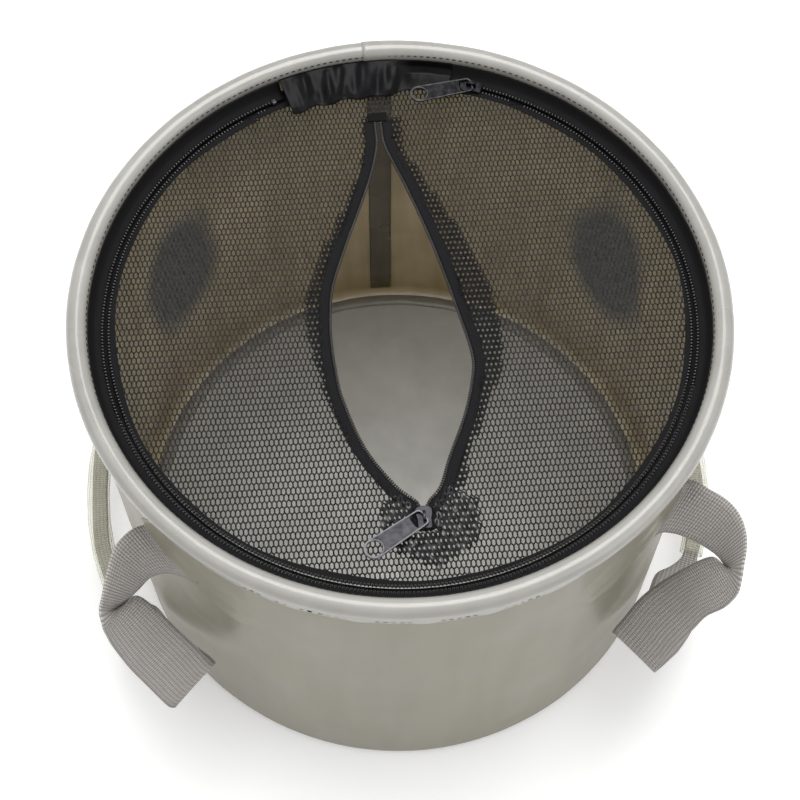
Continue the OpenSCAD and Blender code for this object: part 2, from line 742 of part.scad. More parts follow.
module strap_loop(route) {
    half = loop_half(route);
    ribbon(concat(half, mirrored_rows(half)), 3);
}
module side_of(side) {
    mirror([side < 0 ? 1 : 0, 0, 0]) children();
}

module grip() {
    translate([0, 0, grip_z]) ring_sector(-grip_half, grip_half) translate([grip_r, 0]) difference() {
        rounded_rect(grip_w, grip_h, grip_h / 2 - 0.1);
        rounded_rect(grip_w - 2 * grip_t, grip_h - 2 * grip_t, grip_h / 2 - grip_t - 0.1);
    }
}

wall_sheet();
wall_seam_strip();
floor_sheet();
floor_weld_ribbon();
rim_hoop();
rim_piping();
rim_piping_lap();
rim_hem();
rim_tape();
rim_coil();
rim_zip_stops();
satin_gusset();
rear_mesh();
rear_zip_tape();
rear_zip_coil();
color("#b1ab9d") place_patch(-1, -1);  // patch_front_left
color("#b1ab9d") place_patch(-1, 1);  // patch_rear_left
color("#b1ab9d") place_patch(1, -1);  // patch_front_right
color("#b1ab9d") place_patch(1, 1);  // patch_rear_right
color("#96918e") side_of(-1) strap_ends();  // strap_ends_left
color("#96918e") side_of(1) strap_ends();  // strap_ends_right
lid_mesh(-1);  // lid_mesh_left
lid_mesh(1);  // lid_mesh_right
lid_zip_tape();
lid_coil();
slit_tape(-1);  // slit_tape_left
slit_tape(1);  // slit_tape_right
slit_coil(-1);  // slit_coil_left
slit_coil(1);  // slit_coil_right
slit_rear_tack();
slit_front_patch();
rim_slider();
rim_pull();
slit_slider();
slit_pull();
color("#96918e") side_of(-1) strap_loop(loop_left);  // strap_loop_left
color("#96918e") side_of(1) strap_loop(loop_right);  // strap_loop_right
color("#cfd0bd") side_of(-1) grip();  // grip_left
color("#cfd0bd") side_of(1) grip();  // grip_right
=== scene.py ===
import math

import bmesh
import bpy
import numpy as np
from mathutils import Matrix, Vector


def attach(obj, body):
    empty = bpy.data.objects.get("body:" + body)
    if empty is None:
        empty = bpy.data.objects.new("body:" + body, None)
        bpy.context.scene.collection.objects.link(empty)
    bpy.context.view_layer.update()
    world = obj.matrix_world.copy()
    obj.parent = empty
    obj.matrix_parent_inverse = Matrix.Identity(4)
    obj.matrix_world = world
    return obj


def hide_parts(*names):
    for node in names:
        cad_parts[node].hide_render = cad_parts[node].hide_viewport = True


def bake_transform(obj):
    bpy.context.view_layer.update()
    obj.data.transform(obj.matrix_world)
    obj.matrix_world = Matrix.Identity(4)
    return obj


bl_info = {
    "name": "Soft bucket with a zipped net lid",
    "version": (1, 0, 0),
    "blender": (4, 5, 0),
    "location": "View3D > Sidebar > Bucket",
    "description": "Builds the visible pieces of a soft round bucket over its packed frame",
    "category": "Add Mesh",
}

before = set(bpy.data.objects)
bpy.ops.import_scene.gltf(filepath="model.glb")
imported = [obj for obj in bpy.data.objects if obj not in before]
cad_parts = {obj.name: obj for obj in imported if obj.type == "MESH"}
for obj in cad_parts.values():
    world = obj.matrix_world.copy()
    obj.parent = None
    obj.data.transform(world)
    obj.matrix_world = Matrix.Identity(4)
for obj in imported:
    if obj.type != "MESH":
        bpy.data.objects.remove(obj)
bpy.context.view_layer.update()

MM = 0.001

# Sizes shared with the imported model, in millimetres and degrees
RIM_R = 200.0
HOOP_R = 193.75
HOOP_Z = 288.75
PIPING_R = 6.25
WALL_TOP = 282.2
WALL_BASE_R = 188.0
WALL_SLOPE = 0.0225
SHEET_T = 1.2
FLOOR_R = 181.0
FLOOR_TOP = 2.8
FLOOR_T = 1.6
LID_Z = 278.0
CHAIN_R = 178.0
CHAIN_GAP = 1.8
COIL_W = 2.1
COIL_REACH = 0.05
SLIT_TURN = math.radians(1.6)
SLIT_FRONT = -128.0
SLIT_REAR = 131.0
SLIT_Y0 = -142.0
SLIT_Y1 = 145.0
HINGE_Y = 153.0
TAPE_IN = 172.6
TAPE_OUT = 176.4
NET_R = 174.2
NET_Z = 277.0
GUSSET = (83.8, 110.6)
GUSSET_CLOTH = (75.4, 110.6)
RIM_SLIDER_ANGLE = 70.9
RIM_PULL_TURN = 121.0
RIM_PULL_TILT = 3.6
SLIT_SLIDER_Y = -135.0
SLIT_PULL_TURN = 210.0
PIN_Z = 281.55
SWING_X = 177.0
SWING_Z = 215.0
SWING_BEND = 11.0
WEB_W = 38.0
WEB_T = 1.4
GRIP_R = 214.0
GRIP_Z = 50.0
GRIP_HALF = 20.0
STRAP_ANGLE = 41.4
STRAP_Z = 241.0

# Each side of the open slit: the share of its length from the front, and of its greatest half width
LEFT_SHAPE = [
    (0, 0), (0.02, 0.05), (0.06, 0.3), (0.16, 0.68), (0.28, 0.91), (0.36, 0.98), (0.46, 1), (0.57, 0.93),
    (0.67, 0.72), (0.78, 0.44), (0.88, 0.19), (0.96, 0.04), (1, 0),
]
RIGHT_SHAPE = [
    (0, 0), (0.02, 0.08), (0.05, 0.26), (0.12, 0.45), (0.22, 0.76), (0.31, 0.95), (0.38, 1), (0.5, 0.86),
    (0.6, 0.73), (0.71, 0.56), (0.85, 0.3), (0.96, 0.06), (1, 0),
]
LEFT_W = 42.0
RIGHT_W = 39.0


class BucketSettings(bpy.types.PropertyGroup):
    """Sizes and colours that a user would change"""
    net_pitch: bpy.props.FloatProperty(
        name="Net pitch", description="Spacing of the net's cells from left to right",
        default=0.0028, min=0.002, max=0.006, unit="LENGTH", precision=4)
    net_row: bpy.props.FloatProperty(
        name="Net rows", description="Spacing of the net's rows from front to back",
        default=0.004, min=0.002, max=0.006, unit="LENGTH", precision=4)
    net_hole: bpy.props.FloatProperty(
        name="Net holes", description="Width of a hole as a share of its cell",
        default=0.66, min=0.3, max=0.9, subtype="FACTOR")
    tooth_pitch: bpy.props.FloatProperty(
        name="Slit teeth", description="Spacing of the teeth of the slit's zip",
        default=0.0015, min=0.001, max=0.004, unit="LENGTH", precision=4)
    rim_pitch: bpy.props.FloatProperty(
        name="Rim teeth", description="Spacing of the teeth of the rim's zip",
        default=0.0022, min=0.0015, max=0.004, unit="LENGTH", precision=4)
    wall_wave: bpy.props.FloatProperty(
        name="Wall waves", description="Depth of the wall's soft waves",
        default=0.0009, min=0.0, max=0.003, unit="LENGTH", precision=4)
    weave: bpy.props.FloatProperty(
        name="Weave", description="Strength of the weave in the straps and tapes",
        default=0.5, min=0.0, max=1.0, subtype="FACTOR")
    wall_dark: bpy.props.FloatVectorProperty(
        name="Wall, dark", description="Darker colour of the wall outside",
        default=(0.187, 0.173, 0.13), min=0, max=1, subtype="COLOR")
    wall_light: bpy.props.FloatVectorProperty(
        name="Wall, light", description="Lighter colour of the wall outside",
        default=(0.226, 0.209, 0.159), min=0, max=1, subtype="COLOR")
    # The inside colours are painted light: lighter and yellower than the outside of the same sheet, for the light
    # coming through it
    inside_dark: bpy.props.FloatVectorProperty(
        name="Inside, dark", description="Darker colour of the wall inside",
        default=(0.44, 0.355, 0.195), min=0, max=1, subtype="COLOR")
    inside_light: bpy.props.FloatVectorProperty(
        name="Inside, light", description="Lighter colour of the wall inside",
        default=(0.7, 0.59, 0.38), min=0, max=1, subtype="COLOR")
    # The floor colours are painted light: lighter than the wall's outside, for the light that reaches inside the tub
    floor_dark: bpy.props.FloatVectorProperty(
        name="Floor, dark", description="Darker colour of the floor",
        default=(0.43, 0.43, 0.405), min=0, max=1, subtype="COLOR")
    floor_light: bpy.props.FloatVectorProperty(
        name="Floor, light", description="Lighter colour of the floor",
        default=(0.52, 0.52, 0.49), min=0, max=1, subtype="COLOR")
    rim_dark: bpy.props.FloatVectorProperty(
        name="Rim, dark", description="Darker colour of the rim",
        default=(0.25, 0.245, 0.225), min=0, max=1, subtype="COLOR")
    rim_light: bpy.props.FloatVectorProperty(
        name="Rim, light", description="Lighter colour of the rim",
        default=(0.3, 0.293, 0.27), min=0, max=1, subtype="COLOR")
    web_dark: bpy.props.FloatVectorProperty(
        name="Webbing, dark", description="Darker colour of the straps",
        default=(0.145, 0.136, 0.128), min=0, max=1, subtype="COLOR")
    web_light: bpy.props.FloatVectorProperty(
        name="Webbing, light", description="Lighter colour of the straps",
        default=(0.47, 0.443, 0.42), min=0, max=1, subtype="COLOR")
    net_dark: bpy.props.FloatVectorProperty(
        name="Net, dark", description="Darker colour of the net's yarn",
        default=(0.003, 0.003, 0.0035), min=0, max=1, subtype="COLOR")
    net_light: bpy.props.FloatVectorProperty(
        name="Net, light", description="Lighter colour of the net's yarn",
        default=(0.016, 0.016, 0.017), min=0, max=1, subtype="COLOR")


def settings():
    return bpy.context.scene.bucket


def mm(length):
    """A setting's length in millimetres, in the single precision that settings have"""
    return float(np.float32(length / MM))


# Materials

class Shader:
    """A principled material with short calls for its nodes"""

    def __init__(self, name, color, rough, **inputs):
        self.material = bpy.data.materials.new(name)
        self.material.use_nodes = True
        self.tree = self.material.node_tree
        self.bsdf = self.tree.nodes["Principled BSDF"]
        self.set("Base Color", (*color, 1))
        self.set("Roughness", rough)
        for key, value in inputs.items():
            self.set(key.replace("_", " "), value)

    def set(self, key, value):
        self.bsdf.inputs[key].default_value = value

    def node(self, kind, **values):
        n = self.tree.nodes.new(kind)
        for key, value in values.items():
            if hasattr(n, key):
                setattr(n, key, value)
            else:
                n.inputs[key.replace("_", " ")].default_value = value
        return n

    def link(self, a, b):
        self.tree.links.new(a, b)

    def coords(self, kind="Object", scale=(1, 1, 1)):
        c = self.node("ShaderNodeTexCoord")
        m = self.node("ShaderNodeMapping")
        m.inputs["Scale"].default_value = scale
        self.link(c.outputs[kind], m.inputs["Vector"])
        return m.outputs["Vector"]

    def noise(self, vector, scale, detail=4.0, rough=0.55):
        n = self.node("ShaderNodeTexNoise", Scale=scale, Detail=detail, Roughness=rough)
        self.link(vector, n.inputs["Vector"])
        return n.outputs["Fac"]

    def wave(self, vector, scale, direction="X", distortion=0.0):
        n = self.node("ShaderNodeTexWave", bands_direction=direction, Scale=scale, Distortion=distortion)
        self.link(vector, n.inputs["Vector"])
        return n.outputs["Fac"]

    def ramp(self, fac, low, high, a=0.35, b=0.65):
        n = self.node("ShaderNodeValToRGB")
        n.color_ramp.elements[0].position = a
        n.color_ramp.elements[1].position = b
        n.color_ramp.elements[0].color = (*low, 1)
        n.color_ramp.elements[1].color = (*high, 1)
        self.link(fac, n.inputs["Fac"])
        return n.outputs["Color"]

    def math(self, kind, a, b):
        n = self.node("ShaderNodeMath", operation=kind)
        for k, v in enumerate((a, b)):
            if isinstance(v, (int, float)):
                n.inputs[k].default_value = v
            else:
                self.link(v, n.inputs[k])
        return n.outputs["Value"]

    def range(self, fac, low, high, a=0.3, b=0.7):
        n = self.node("ShaderNodeMapRange")
        for key, v in (("From Min", a), ("From Max", b), ("To Min", low), ("To Max", high)):
            n.inputs[key].default_value = v
        self.link(fac, n.inputs["Value"])
        return n.outputs["Result"]

    def bump(self, height, strength, distance, after=None):
        n = self.node("ShaderNodeBump")
        n.inputs["Strength"].default_value = strength
        n.inputs["Distance"].default_value = distance
        self.link(height, n.inputs["Height"])
        if after is not None:
            self.link(after, n.inputs["Normal"])
        self.link(n.outputs["Normal"], self.bsdf.inputs["Normal"])
        return n.outputs["Normal"]

    def color(self, output):
        self.link(output, self.bsdf.inputs["Base Color"])

    def rough(self, output):
        self.link(output, self.bsdf.inputs["Roughness"])


# Angles and height of the painted shadows on the wall inside, behind the patches, and how tightly each is drawn
PATCH_SHADOW_ANGLES = (139.5, 35.0, -139.5, -35.0)
PATCH_SHADOW_Z = 148.0
PATCH_SHADOW_SCALE = (26, 26, 15)


def sheet_material(name, low, high, rough, streak, grain=0.12, coat=0.25, patch_shadows=False):
    """Coated sheet: cloudy colour, upright streaks, fine grain; painted shadow darkens it behind the patches outside
    """
    s = Shader(name, high, rough, Coat_Weight=coat, Coat_Roughness=0.14)
    v = s.coords()
    cloud = s.noise(v, 14.0, 3.0)
    tall = s.coords(scale=(1, 1, 0.12))
    lines = s.noise(tall, 60.0, 2.0)
    fac = s.math("ADD", s.math("MULTIPLY", cloud, 0.6), s.math("MULTIPLY", lines, 0.4))
    paint = s.ramp(fac, low, high)
    if patch_shadows:
        # Painted shadow of each patch outside: the colour is mixed towards dark grey near its place
        for angle in PATCH_SHADOW_ANGLES:
            place = cyl(angle, WALL_BASE_R, PATCH_SHADOW_Z)
            squeeze = s.node("ShaderNodeVectorMath", operation="MULTIPLY")
            squeeze.inputs[1].default_value = PATCH_SHADOW_SCALE
            s.link(s.coords(), squeeze.inputs[0])
            gap = s.node("ShaderNodeVectorMath", operation="DISTANCE")
            s.link(squeeze.outputs["Vector"], gap.inputs[0])
            gap.inputs[1].default_value = [c * MM * k for c, k in zip(place, PATCH_SHADOW_SCALE)]
            far = s.math("ADD", gap.outputs["Value"], s.math("MULTIPLY", cloud, 0.5))
            mix = s.node("ShaderNodeMix", data_type="RGBA")
            s.link(s.range(far, 1.0, 0.0, 0.95, 1.35), mix.inputs["Factor"])
            s.link(paint, mix.inputs["A"])
            mix.inputs["B"].default_value = (0.1, 0.1, 0.1, 1)
            paint = mix.outputs["Result"]
    s.color(paint)
    s.rough(s.range(cloud, rough - 0.07, rough + 0.1))
    first = s.bump(s.noise(tall, 26.0, 2.0), streak, 0.004)
    s.bump(s.noise(v, 900.0, 2.0), grain, 0.0004, first)
    return s.material


def woven_material(name, low, high, rough, across, along, depth, sheen=0.3, kind="UV"):
    """Woven band: ribs across and along in UV millimetres"""
    s = Shader(name, high, rough, Sheen_Weight=sheen, Sheen_Roughness=0.4, Specular_IOR_Level=0.12)
    v = s.coords(kind)
    rib = s.wave(v, math.pi / 10 / across, "X")
    pick = s.wave(v, math.pi / 10 / along, "Y")
    both = s.math("MULTIPLY", s.math("ADD", rib, 0.6), s.math("ADD", pick, 0.25))
    fuzz = s.noise(v, 2.5, 3.0)
    shade = s.math("ADD", s.math("MULTIPLY", both, 0.5), s.math("MULTIPLY", fuzz, 0.4))
    s.color(s.ramp(shade, low, high, 0.2, 0.75))
    s.bump(both, depth, 0.0006)
    return s.material


def metal_material(name, low, high):
    s = Shader(name, high, 0.34, Metallic=1.0)
    v = s.coords()
    wear = s.noise(v, 260.0, 5.0)
    s.color(s.ramp(wear, low, high, 0.3, 0.8))
    s.rough(s.range(wear, 0.26, 0.42))
    s.bump(s.noise(v, 1500.0, 2.0), 0.08, 0.0003)
    return s.material


def net_material(name, low, high, smooth, rough, gloss):
    s = Shader(name, high, rough, Specular_IOR_Level=gloss)
    v = s.coords()
    fuzz = s.noise(v, 700.0, 3.0)
    s.color(s.ramp(fuzz, low, high))
    s.rough(s.range(fuzz, smooth, rough))
    s.bump(fuzz, 0.5, 0.0004)
    return s.material


def satin_material():
    s = Shader("satin", (0.006, 0.006, 0.008), 0.36, Anisotropic=0.5, Specular_IOR_Level=0.1)
    v = s.coords()
    crease = s.noise(v, 45.0, 2.0)
    s.color(s.ramp(crease, (0.001, 0.001, 0.0012), (0.004, 0.004, 0.005)))
    s.rough(s.range(crease, 0.26, 0.42))
    first = s.bump(crease, 0.15, 0.002)
    s.bump(s.noise(v, 2600.0, 2.0), 0.1, 0.0002, first)
    return s.material


def sleeve_material():
    s = Shader("clear_sleeve", (0.8, 0.8, 0.68), 0.18, IOR=1.45, Alpha=0.4)
    v = s.coords()
    haze = s.noise(v, 50.0, 3.0)
    s.color(s.ramp(haze, (0.6, 0.6, 0.42), (0.78, 0.78, 0.6)))
    s.rough(s.range(haze, 0.12, 0.26))
    edge = s.node("ShaderNodeLayerWeight", Blend=0.35)
    s.link(s.range(edge.outputs["Facing"], 0.15, 0.95, 0.25, 0.8), s.bsdf.inputs["Alpha"])
    return s.material


MATERIALS = {}


def make_materials():
    st = settings()
    outside = (st.wall_dark, st.wall_light, 0.44, 0.12)
    MATERIALS.update(
        wall_outside=sheet_material("wall_outside", *outside, coat=0.1),
        # Painted light: the sheet's inside is coloured lighter and yellower for the light through it, with painted
        # shadows behind the patches
        wall_inside=sheet_material("wall_inside", st.inside_dark, st.inside_light, 0.2, 0.8, coat=0.6, patch_shadows=True),
        seam=sheet_material("seam_strip", (0.1, 0.085, 0.06), (0.17, 0.15, 0.11), 0.26, 0.4),
        # Painted light: the floor is coloured lighter than the wall's outside, for the light inside the tub
        floor=sheet_material("floor_sheet", st.floor_dark, st.floor_light, 0.34, 0.15),
        weld=sheet_material("weld_ribbon", (0.22, 0.21, 0.175), (0.29, 0.275, 0.23), 0.3, 0.1),
        rim=sheet_material("rim_piping", st.rim_dark, st.rim_light, 0.28, 0.05, 0.04, 0.5),
        hem=sheet_material("hem", (0.28, 0.27, 0.235), (0.34, 0.33, 0.29), 0.32, 0.06),
        patch=sheet_material("patch", *outside, coat=0.1),
        hoop=sheet_material("hoop", (0.02, 0.02, 0.02), (0.035, 0.035, 0.035), 0.5, 0.0),
        tape=woven_material("zip_tape", (0.002, 0.002, 0.0025), (0.009, 0.009, 0.01), 0.75, 0.7, 1.1,
                            0.5 * st.weave, 0.0),
        webbing=woven_material("webbing", st.web_dark, st.web_light, 0.7, 2.6, 1.7, 1.6 * st.weave, 0.2),
        coil=sheet_material("coil", (0.008, 0.008, 0.009), (0.026, 0.026, 0.028), 0.16, 0.0, 0.05, 0.8),
        thread=woven_material("thread", (0.004, 0.004, 0.004), (0.02, 0.02, 0.02), 0.6, 0.4, 0.4, 0.2, 0.3,
                              "Object"),
        satin=satin_material(),
        net=net_material("net_yarn", st.net_dark, st.net_light, 0.16, 0.4, 0.5),
        net_matt=net_material("net_hem", (0.002, 0.002, 0.0025), (0.007, 0.007, 0.008), 0.3, 0.5, 0.16),
        net_gloss=net_material("net_patch", (0.002, 0.002, 0.0025), (0.006, 0.006, 0.007), 0.1, 0.24, 0.4),
        sleeve=sleeve_material(),
        metal=metal_material("gunmetal", (0.012, 0.012, 0.014), (0.055, 0.055, 0.06)),
        # A lighter copy of the gunmetal: painted highlight for the pulls' raised rims and eyes
        steel=metal_material("painted_highlight_edge", (0.05, 0.05, 0.054), (0.13, 0.13, 0.14)),
    )


# Mesh helpers

def finish_mesh(bm, name, materials, body=None, slot=None, replaces=(), smooth=True, merge=False, turn=True,
                place=None):
    """Makes a piece of a bmesh drawn in millimetres"""
    if merge:
        bmesh.ops.remove_doubles(bm, verts=bm.verts, dist=1e-4)
    if turn:
        bmesh.ops.recalc_face_normals(bm, faces=bm.faces)
    bmesh.ops.scale(bm, vec=(MM, MM, MM), verts=bm.verts)
    if place is not None:
        bmesh.ops.transform(bm, matrix=place, verts=bm.verts)
    for face in bm.faces:
        face.smooth = smooth
    mesh = bpy.data.meshes.new(name)
    bm.to_mesh(mesh)
    bm.free()
    return add_piece(mesh, name, materials, body, replaces)


def add_piece(mesh, name, materials, body=None, replaces=()):
    for m in materials:
        mesh.materials.append(MATERIALS[m])
    obj = bpy.data.objects.new(name, mesh)
    bpy.context.scene.collection.objects.link(obj)
    if body:
        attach(obj, body)
    if replaces:
        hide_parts(*replaces)
    return obj


def cloth(name, cols, rows, lay, materials, thick, offset=0.0, flip=False, inside=0, measure=None, **rest):
    """A sheet: a grid laid out by lay(u, v), u and v from 0 to 1, with its thickness from a modifier"""
    bm = bmesh.new()
    marks = bm.loops.layers.uv.new("uv")
    bmesh.ops.create_grid(bm, x_segments=cols, y_segments=rows, size=0.5)
    half = max(v.co.x for v in bm.verts)
    for vert in bm.verts:
        u, v = (min(1.0, max(0.0, c / half / 2 + 0.5)) for c in vert.co.xy)
        for loop in vert.link_loops:
            loop[marks].uv = measure(u, v) if measure else (u, v)
        vert.co = lay(u, v)
    if flip:
        bmesh.ops.reverse_faces(bm, faces=bm.faces)
    obj = finish_mesh(bm, name, materials, merge=True, turn=False, **rest)
    m = obj.modifiers.new("thickness", "SOLIDIFY")
    m.thickness = thick * MM
    m.offset = offset
    m.material_offset = inside
    return obj


def copies(unit, places):
    """A bmesh of one small mesh, once at each (place, material number)"""
    bm = bmesh.new()
    for place, number in places:
        copy = unit.copy()
        copy.transform(place)
        copy.polygons.foreach_set("material_index", [number] * len(copy.polygons))
        bm.from_mesh(copy)
        bpy.data.meshes.remove(copy)
    bpy.data.meshes.remove(unit)
    return bm


def unit_mesh(bm):
    """The small mesh that copies repeats"""
    mesh = bpy.data.meshes.new("unit")
    bm.to_mesh(mesh)
    bm.free()
    return mesh


def revolve(name, profile, materials, steps, shift, **rest):
    """A closed profile of (r, z) spun through a full turn, then waved by shift"""
    bm = bmesh.new()
    ring = [bm.verts.new((r, 0, z)) for r, z in profile]
    edges = [bm.edges.new((v, ring[k - 1])) for k, v in enumerate(ring)]
    bmesh.ops.spin(bm, geom=ring + edges, cent=(0, 0, 0), axis=(0, 0, 1), angle=2 * math.pi, steps=steps,
                   use_merge=True)
    for v in bm.verts:
        r, a = math.hypot(v.co.x, v.co.y), math.degrees(math.atan2(v.co.y, v.co.x))
        dr, dz = shift(a, r, v.co.z)
        v.co = cyl(a, r + dr, v.co.z + dz)
    return finish_mesh(bm, name, materials, **rest)


def run_along(points):
    """The distance along a line at each of its points"""
    return np.concatenate([[0], np.cumsum(np.linalg.norm(np.diff(points, axis=0), axis=1))])


def along_line(profile):
    """A function for the place on a line of (r, z) at a share of its length, and that length"""
    p = np.array(profile, float)
    run = run_along(p)

    def at(share):
        return tuple(float(np.interp(share * run[-1], run, column)) for column in p.T)
    return at, run[-1]


def row_at(rows, share):
    """The row of numbers at a share of the way down the rows"""
    return np.array([np.interp(share * (len(rows) - 1), np.arange(len(rows)), column) for column in rows.T])


def round_cloth(name, profile, a0, a1, cols, rows, shift=None, **rest):
    """A sheet carried round from a0 to a1 degrees, its section a line of (r, z)"""
    at, length = along_line(profile)

    def lay(u, v):
        a = a0 + (a1 - a0) * u
        r, z = at(v)
        dr, dz = shift(a, r, z) if shift else (0.0, 0.0)
        return cyl(a if abs(a - a0) < 359.999 else a0, r + dr, z + dz)
    arc_length = math.radians(a1 - a0) * profile[0][0]
    return cloth(name, cols, rows, lay, measure=lambda u, v: (v * length, arc_length * u), **rest)


def smooth_line(points, steps):
    """Catmull-Rom through rows of numbers"""
    p = np.array(points, float)
    p = np.vstack([2 * p[0] - p[1], p, 2 * p[-1] - p[-2]])
    out = []
    for i in range(1, len(p) - 2):
        a, b, c, d = p[i - 1], p[i], p[i + 1], p[i + 2]
        for k in range(steps):
            t = k / steps
            out.append((2 * b + (c - a) * t + (2 * a - 5 * b + 4 * c - d) * t * t
                        + (3 * b - a - 3 * c + d) * t ** 3) / 2)
    out.append(p[-2])
    return np.array(out)


def unit(v):
    return v / max(1e-9, np.linalg.norm(v))


def ribbon(name, rows, steps, materials, **rest):
    """A woven band along rows of [x, y, z, wx, wy, wz, width]"""
    path = smooth_line(rows, steps)
    path = np.column_stack([path, run_along(path[:, :3])])

    def lay(u, v):
        row = row_at(path, v)
        return tuple(row[:3] + unit(row[3:6]) * (u - 0.5) * row[6])

    def measure(u, v):
        width, run = row_at(path, v)[6:]
        return (u - 0.5) * width, run
    return cloth(name, 8, len(path) - 1, lay, materials, WEB_T, measure=measure, **rest)


def cyl(a, r, z):
    """The place at an angle in degrees, a radius and a height"""
    return (r * math.cos(math.radians(a)), r * math.sin(math.radians(a)), z)


def smooth_step(v, a, b):
    """0 below a, 1 above b and smooth between"""
    t = max(0.0, min(1.0, (v - a) / (b - a)))
    return t * t * (3 - 2 * t)


def wall_r(z):
    return WALL_BASE_R + WALL_SLOPE * z


def wall_shift(a, r, z):
    """Soft waves in the wall, none at the rim, at the ground or under the patches"""
    t = math.radians(a)
    amount = mm(settings().wall_wave) * max(0.0, math.sin(math.pi * min(1.0, max(0.0, z / WALL_TOP)))) ** 0.7
    side = abs(math.cos(t))
    calm = 1.0 - min(1.0, max(0.0, (side - 0.55) / 0.15)) * (1 if z > 150 else 0.5)
    w = (math.sin(7 * t + 0.5 + z * 0.006) + 0.6 * math.sin(13 * t + 2 + z * 0.014)
         + 0.4 * math.sin(23 * t - z * 0.021))
    return amount * calm * w * 0.6, 0.0


# The bucket's shell

def build_shell():
    """The wall, the strip over its seam, the floor and its weld"""
    bend = 7.0
    foot = [(wall_r(bend) - bend - 14, 0.0)]
    for k in range(9):
        q = math.radians(90 * k / 8)
        foot.append((wall_r(bend) - bend + bend * math.sin(q), bend - bend * math.cos(q)))
    foot.append((wall_r(WALL_TOP), WALL_TOP))
    round_cloth("wall_skin", foot, 0, 360, 240, 110, wall_shift, materials=["wall_outside", "wall_inside"],
                thick=SHEET_T, offset=-1.0, inside=1, body="tub", slot="wall", replaces=["wall_sheet"])
    half = math.degrees(8 / WALL_BASE_R)
    strip = [(wall_r(z) - SHEET_T - 0.9, z) for z in (8.2, 280)]
    round_cloth("seam_strip", strip, 90 - half, 90 + half, 8, 30, wall_shift, materials=["seam"], thick=SHEET_T,
                body="tub", slot="wall", replaces=["wall_seam_strip"])

    def floor_shift(a, r, z):
        t = math.radians(a)
        rise = 0.5 * math.sin(3 * t + r * 0.03) + 0.35 * math.sin(5 * t - r * 0.05)
        return 0.0, rise * math.sin(math.pi * min(1.0, r / 176))
    round_cloth("floor_skin", [(0, FLOOR_TOP), (FLOOR_R, FLOOR_TOP)], 0, 360, 120, 36, floor_shift,
                materials=["floor"], thick=FLOOR_T, offset=-1.0, flip=True, body="tub", slot="floor",
                replaces=["floor_sheet"])
    weld = [(172, FLOOR_TOP), (FLOOR_R, FLOOR_TOP), (FLOOR_R, 3.3), (176.5, 3.55), (172, 3.3)]
    revolve("floor_weld", weld, ["weld"], 180, lambda a, r, z: (0, 0), body="tub", slot="floor",
            replaces=["floor_weld_ribbon"])


def build_rim():
    """The piping with its lap, the hem and their stitches; the hoop keeps its CAD mesh"""
    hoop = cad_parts["rim_hoop"]
    for place in hoop.material_slots:
        place.material = MATERIALS["hoop"]

    def section(radius, start, stop, count):
        return [(HOOP_R + radius * math.cos(math.radians(q)), HOOP_Z + radius * math.sin(math.radians(q)))
                for q in np.linspace(start, stop, count, endpoint=stop - start < 360)]

    def ripple(a, r, z):
        t = math.radians(a)
        w = 0.05 * (math.sin(17 * t) + 0.7 * math.sin(41 * t + 1))
        return w, w
    revolve("rim_tube", section(PIPING_R, 0, 360, 40), ["rim"], 300, ripple, body="tub", slot="rim",
            replaces=["rim_piping"])
    lap = math.degrees(60 / RIM_R)

    def fade(a, r, z):
        part = max(0.0, min(1.0, (93.2 - a) / lap)) * 0.72 / (PIPING_R + 0.6)
        return -(r - HOOP_R) * part, -(z - HOOP_Z) * part
    round_cloth("rim_tube_lap", section(PIPING_R + 0.6, -35, 215, 40), 93.2 - lap, 93.2, 24, 40, fade,
                materials=["rim"], thick=0.8, offset=-1.0, body="tub", slot="rim",
                replaces=["rim_piping_lap"])

    def hem_shift(a, r, z):
        t = math.radians(a)
        return 0.25 * math.sin(31 * t) + 0.15 * math.sin(67 * t), 0.0
    hem = [(wall_r(z) + 1.7 + 0.5 * math.sin((z - 271) / 11 * math.pi), z)
           for z in np.linspace(271.2, WALL_TOP, 8)]
    round_cloth("rim_hem_band", hem, 0, 360, 300, 7, hem_shift, materials=["hem"], thick=1.4, offset=-1.0,
                body="tub", slot="rim", replaces=["rim_hem"])
    stitches("rim_stitches", 187.75, 290.6, 4.2, 2.9, 0.45, 0, 360)
    hem_r = wall_r(275) + 2.0
    stitches("hem_stitches_dark", hem_r, 274.2, 4.6, 3.4, 0.4, 244.5, 251.5)
    stitches("hem_stitches_pale", hem_r, 274.2, 4.6, 3.2, 0.3, 252, 604, "hem")


def stitches(name, r, z, pitch, length, thick, a0, a1, material="thread"):
    """Short thread stitches round a circle"""
    bm = bmesh.new()
    bmesh.ops.create_uvsphere(bm, u_segments=6, v_segments=5, radius=1,
                              matrix=Matrix.Diagonal((thick, length / 2, thick, 1)))
    count = int(math.radians(a1 - a0) * r / pitch)
    places = [(Matrix.Rotation(math.radians(a0 + (a1 - a0) * (i + 0.5) / count), 4, "Z")
               @ Matrix.Translation((r, 0, z)), 0) for i in range(count)]
    return finish_mesh(copies(unit_mesh(bm), places), name, [material], body="tub", slot="tape")


# Zips

def spread(shape):
    """A side's shares along and across, smoothed"""
    points = smooth_line(shape, 5)
    return points[:, 0], points[:, 1]


SPREADS = {-1: spread(LEFT_SHAPE), 1: spread(RIGHT_SHAPE)}


def slit_x(side, u):
    """Half width of the slit at a share of its length"""
    share = max(0.0, float(np.interp(u, *SPREADS[side])))
    widest = LEFT_W if side < 0 else RIGHT_W
    return CHAIN_GAP / 2 + (widest - CHAIN_GAP / 2) * share


def slit_half_at(side, y):
    """Half width of the slit at a place along it"""
    return slit_x(side, (y - SLIT_FRONT) / (SLIT_REAR - SLIT_FRONT))


def turned(x, y):
    """From the slit's own axes to the bucket's"""
    c, s = math.cos(SLIT_TURN), math.sin(SLIT_TURN)
    return x * c - y * s, x * s + y * c


